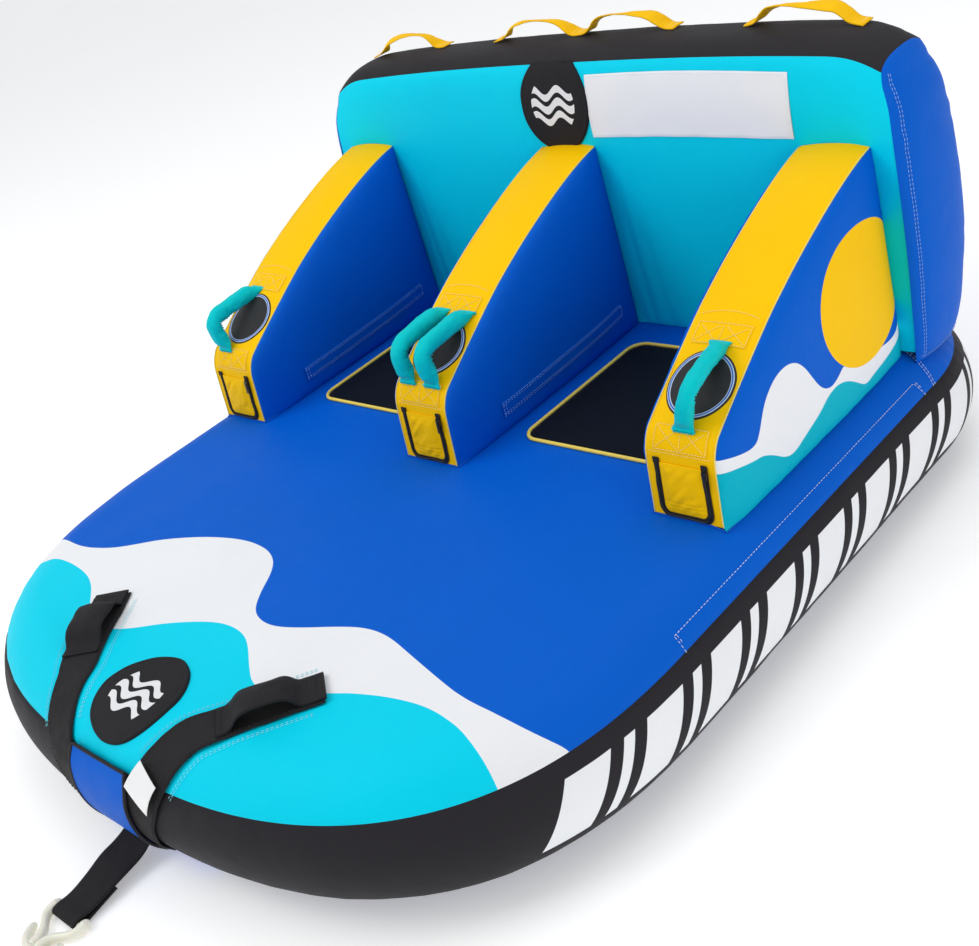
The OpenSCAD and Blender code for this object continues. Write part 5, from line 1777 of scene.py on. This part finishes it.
# ---------------------------------------------------------------- seams sewn in white
def build_seams():
    T = Mesh()
    for sx in (-1, 1):
        y = np.linspace(-0.221, 0.526, 120)
        edge = np.stack([sx * (0.717 + 0 * y), y, -0.033 + 0 * y], 1)
        deck_stitch(T, edge, w=0.0011)
        for yy, dy in ((-0.221, -0.004), (0.526, 0.004)):
            q = np.stack([np.linspace(sx * 0.717, sx * 0.741, 8), np.linspace(yy, yy + dy, 8), np.linspace(-0.033, -0.062, 8)], 1)
            deck_stitch(T, q, w=0.0011)
            q = q + A([0, 0.005, 0])
            deck_stitch(T, q[:5], w=0.0011)
        for o in (0.0, 0.006):
            q = np.stack([np.linspace(sx * 0.673, sx * 0.738, 12), np.linspace(0.588, 0.560, 12) + o, np.linspace(-0.012, -0.055, 12)], 1)
            deck_stitch(T, q, w=0.0010)
    T.build("deck_edge_stitches", m_thread, slot="blue_nylon")
    # reinforcement strip sewn near the foot of the arms' inner sides
    R, S = Mesh(), Mesh()
    for side, sx in (("left", 1), ("centre", 1), ("centre", -1), ("right", -1)):
        P, G, s, q = side_grid(side, sx)
        flat = P.reshape(-1, 3)

        def on_side(y, z, lift):
            y, z = np.broadcast_arrays(A(y, float), A(z, float))
            out = np.zeros(y.shape + (3,))
            for i in np.ndindex(y.shape):
                d = (flat[:, 1] - y[i]) ** 2 + (flat[:, 2] - z[i]) ** 2
                near = np.argpartition(d, 6)[:6]
                w = 1 / (d[near] + 1e-7)
                out[i] = [(flat[near, 0] * w).sum() / w.sum() + sx * lift, y[i], z[i]]
            return out

        y = np.linspace(0.128, 0.515, 52)
        zz = np.linspace(0, 1, 7)
        base = 0.034 + 0.012 * (y - 0.14) / 0.35
        rows = []
        for v in zz:
            e = min(v, 1 - v) * 0.034
            rows.append(on_side(y, base + 0.034 * v, 0.0006 + 0.0013 * min(1, e / 0.004)))
        GG = np.stack(rows, 1)
        R.grid(GG, uv=np.stack([y[:, None] + 0 * zz[None], base[:, None] + 0.034 * zz[None]], 2), flip=sx < 0)
        N = A([sx, 0, 0])
        for v in (0.0035, 0.0305):
            stitches(S, on_side(y, base + v, 0.0024), N, w=0.0006)
            stitches(S, on_side(y, base + v + (0.0045 if v < 0.01 else -0.0045), 0.0024), N, w=0.0006)
        for y0 in (0.131, 0.138, 0.512):
            v = np.linspace(0.004, 0.030, 8)
            stitches(S, on_side(np.full(8, y0), float(np.interp(y0, y, base)) + v, 0.0024), N, w=0.0009)
    R.build("arm_side_strips", m_blue, slot="blue_nylon")
    S.build("arm_side_stitches", m_thread_blue, slot="blue_nylon")
    # soft connector: a loop of stiff webbing folded to a fork round the strap's eye
    C = Mesh()
    z0 = -0.250
    bar = np.stack([np.linspace(-0.040, 0.040, 24), np.full(24, -0.985), np.full(24, z0)], 1)
    tube(C, bar, 0.0055, 14, up=(0, 0, 1))
    for sx in (-1, 1):
        line = [(0.044, -0.977), (0.0455, -0.990), (0.042, -1.001), (0.030, -1.011), (0.016, -1.021), (0.009, -1.033), (0.008, -1.046)]
        Q = resample(curve(line, 0.001, smooth=2), 0.002)
        Lq = lengths(Q)
        r = 0.0080 + 0.0009 * np.cos(Lq / Lq[-1] * TAU)
        P = np.stack([sx * Q[:, 0], Q[:, 1], z0 + 0 * Lq], 1)
        tube(C, P, r, 16, up=(0, 0, 1), flat=1.15)
        for t in (0, -1):
            dome(C, P[t], P[t] - P[1 if t == 0 else -2], r[t], 1.0)
    a = np.radians(np.linspace(198, 342, 50))
    arc = np.stack([0.044 * np.cos(a), -1.012 + 0.044 * np.sin(a), z0 + 0 * a], 1)
    ra = 0.0088 * (1 - 0.30 * np.abs(np.linspace(-1, 1, 50)) ** 3)
    tube(C, arc, ra, 16, up=(0, 0, 1), flat=1.2)
    for t in (0, -1):
        dome(C, arc[t], arc[t] - arc[1 if t == 0 else -2], ra[t], 1.0)
    C.build("hook_connector", m_cream, body="connector", repl="tow_connector", slot="cream_nylon")


def dome(M, c, d, r, flat=1.0):
    """A rounded end cap."""
    d = unit(A(d, float))
    u = unit(np.cross(d, A([0.3, 0.1, 1.0])))
    v = np.cross(d, u)
    a = np.linspace(0, TAU, 17)[:-1]
    t = np.radians(np.linspace(0, 88, 7))
    G = c + (np.cos(t)[:, None, None] * (np.cos(a)[None, :, None] * u + np.sin(a)[None, :, None] * v) + np.sin(t)[:, None, None] * d) * r
    M.grid(G, cv=True)


build_seams()


def build_nose_outline():
    T = Mesh()
    for sx in (-1, 1):
        P = strap_path(sx)
        up = unit(conform(P, 0.014) - P)
        Tn, S, U = frames(P, up)
        L = lengths(P)
        for e, a0 in ((-1, 0.02), (1, 0.0)):
            for o in (0.050, 0.0545):
                keep = (L > a0) & (P[:, 2] > -0.045)
                Q = conform(P[keep] + S[keep] * (o * e), 0.0006)
                stitches(T, Q, up[keep], w=0.0007)
    T.build("nose_outline_stitches", m_thread_pale, slot="cyan_nylon")


m_thread_pale = thread("thread_pale_cyan", (150, 232, 245))
build_nose_outline()


# ---------------------------------------------------------------- studio and camera
def studio():
    sc = bpy.context.scene
    me = bpy.data.meshes.new("floor")
    s = 14.0
    me.from_pydata([(-s, -s, 0), (s, -s, 0), (s, s, 0), (-s, s, 0)], [], [(0, 1, 2, 3)])
    g = Mat("floor")
    g.put(g.mix(g.noise(g.obj(), 1.2, 3.0), (0.86, 0.86, 0.86, 1), (0.90, 0.90, 0.90, 1)), g.p.inputs["Base Color"])
    g.p.inputs["Roughness"].default_value = 0.75
    g.p.inputs["Emission Color"].default_value = (1, 1, 1, 1)
    g.p.inputs["Emission Strength"].default_value = 0.30
    me.materials.append(g.m)
    fl = bpy.data.objects.new("floor", me)
    fl.location = (0, 0, -0.0005)
    sc.collection.objects.link(fl)
    w = bpy.data.worlds.new("soft")
    sc.world = w
    w.use_nodes = True
    bg = w.node_tree.nodes["Background"]
    bg.inputs[0].default_value = (0.97, 0.985, 1.0, 1)
    bg.inputs[1].default_value = 0.62

    def lamp(name, loc, target, size, power, col=(1, 1, 1)):
        l = bpy.data.lights.new(name, "AREA")
        l.shape = "RECTANGLE"
        l.size, l.size_y = size
        l.energy = power
        l.color = col
        ob = bpy.data.objects.new(name, l)
        ob.location = loc
        ob.rotation_euler = (Vector(target) - Vector(loc)).to_track_quat("-Z", "Y").to_euler()
        sc.collection.objects.link(ob)

    lamp("key", (-2.2, -2.6, 4.2), (0, 0, 0.3), (3.0, 3.0), 88)
    lamp("top", (0.6, 1.2, 4.4), (0, 0.1, 0.3), (3.4, 3.4), 38)
    lamp("fill", (4.2, -0.6, 1.6), (0.2, 0, 0.3), (2.6, 2.0), 22)
    sc.view_settings.view_transform = "Standard"
    sc.view_settings.look = "None"
    cam = bpy.data.cameras.new("camera")
    cam.sensor_width = 36.0
    cam.sensor_fit = "AUTO"
    cam.lens = 1351.45 / 979 * 36.0
    cam.shift_x = -(490.99 - 489.5) / 979
    cam.shift_y = (466.40 - 473.0) / 979
    ob = bpy.data.objects.new("camera", cam)
    R = [[0.715713, 0.643171, -0.272187], [0.161403, -0.531509, -0.831533], [-0.679488, 0.551207, -0.484218]]  # the camera's right, down and forward directions
    loc = A([1.8353, -1.3571, 1.2115]) + SH
    M4 = Matrix.Identity(4)
    for r in range(3):
        M4[r][0], M4[r][1], M4[r][2], M4[r][3] = R[0][r], -R[1][r], -R[2][r], loc[r]
    ob.matrix_world = M4
    sc.collection.objects.link(ob)
    sc.camera = ob


studio()
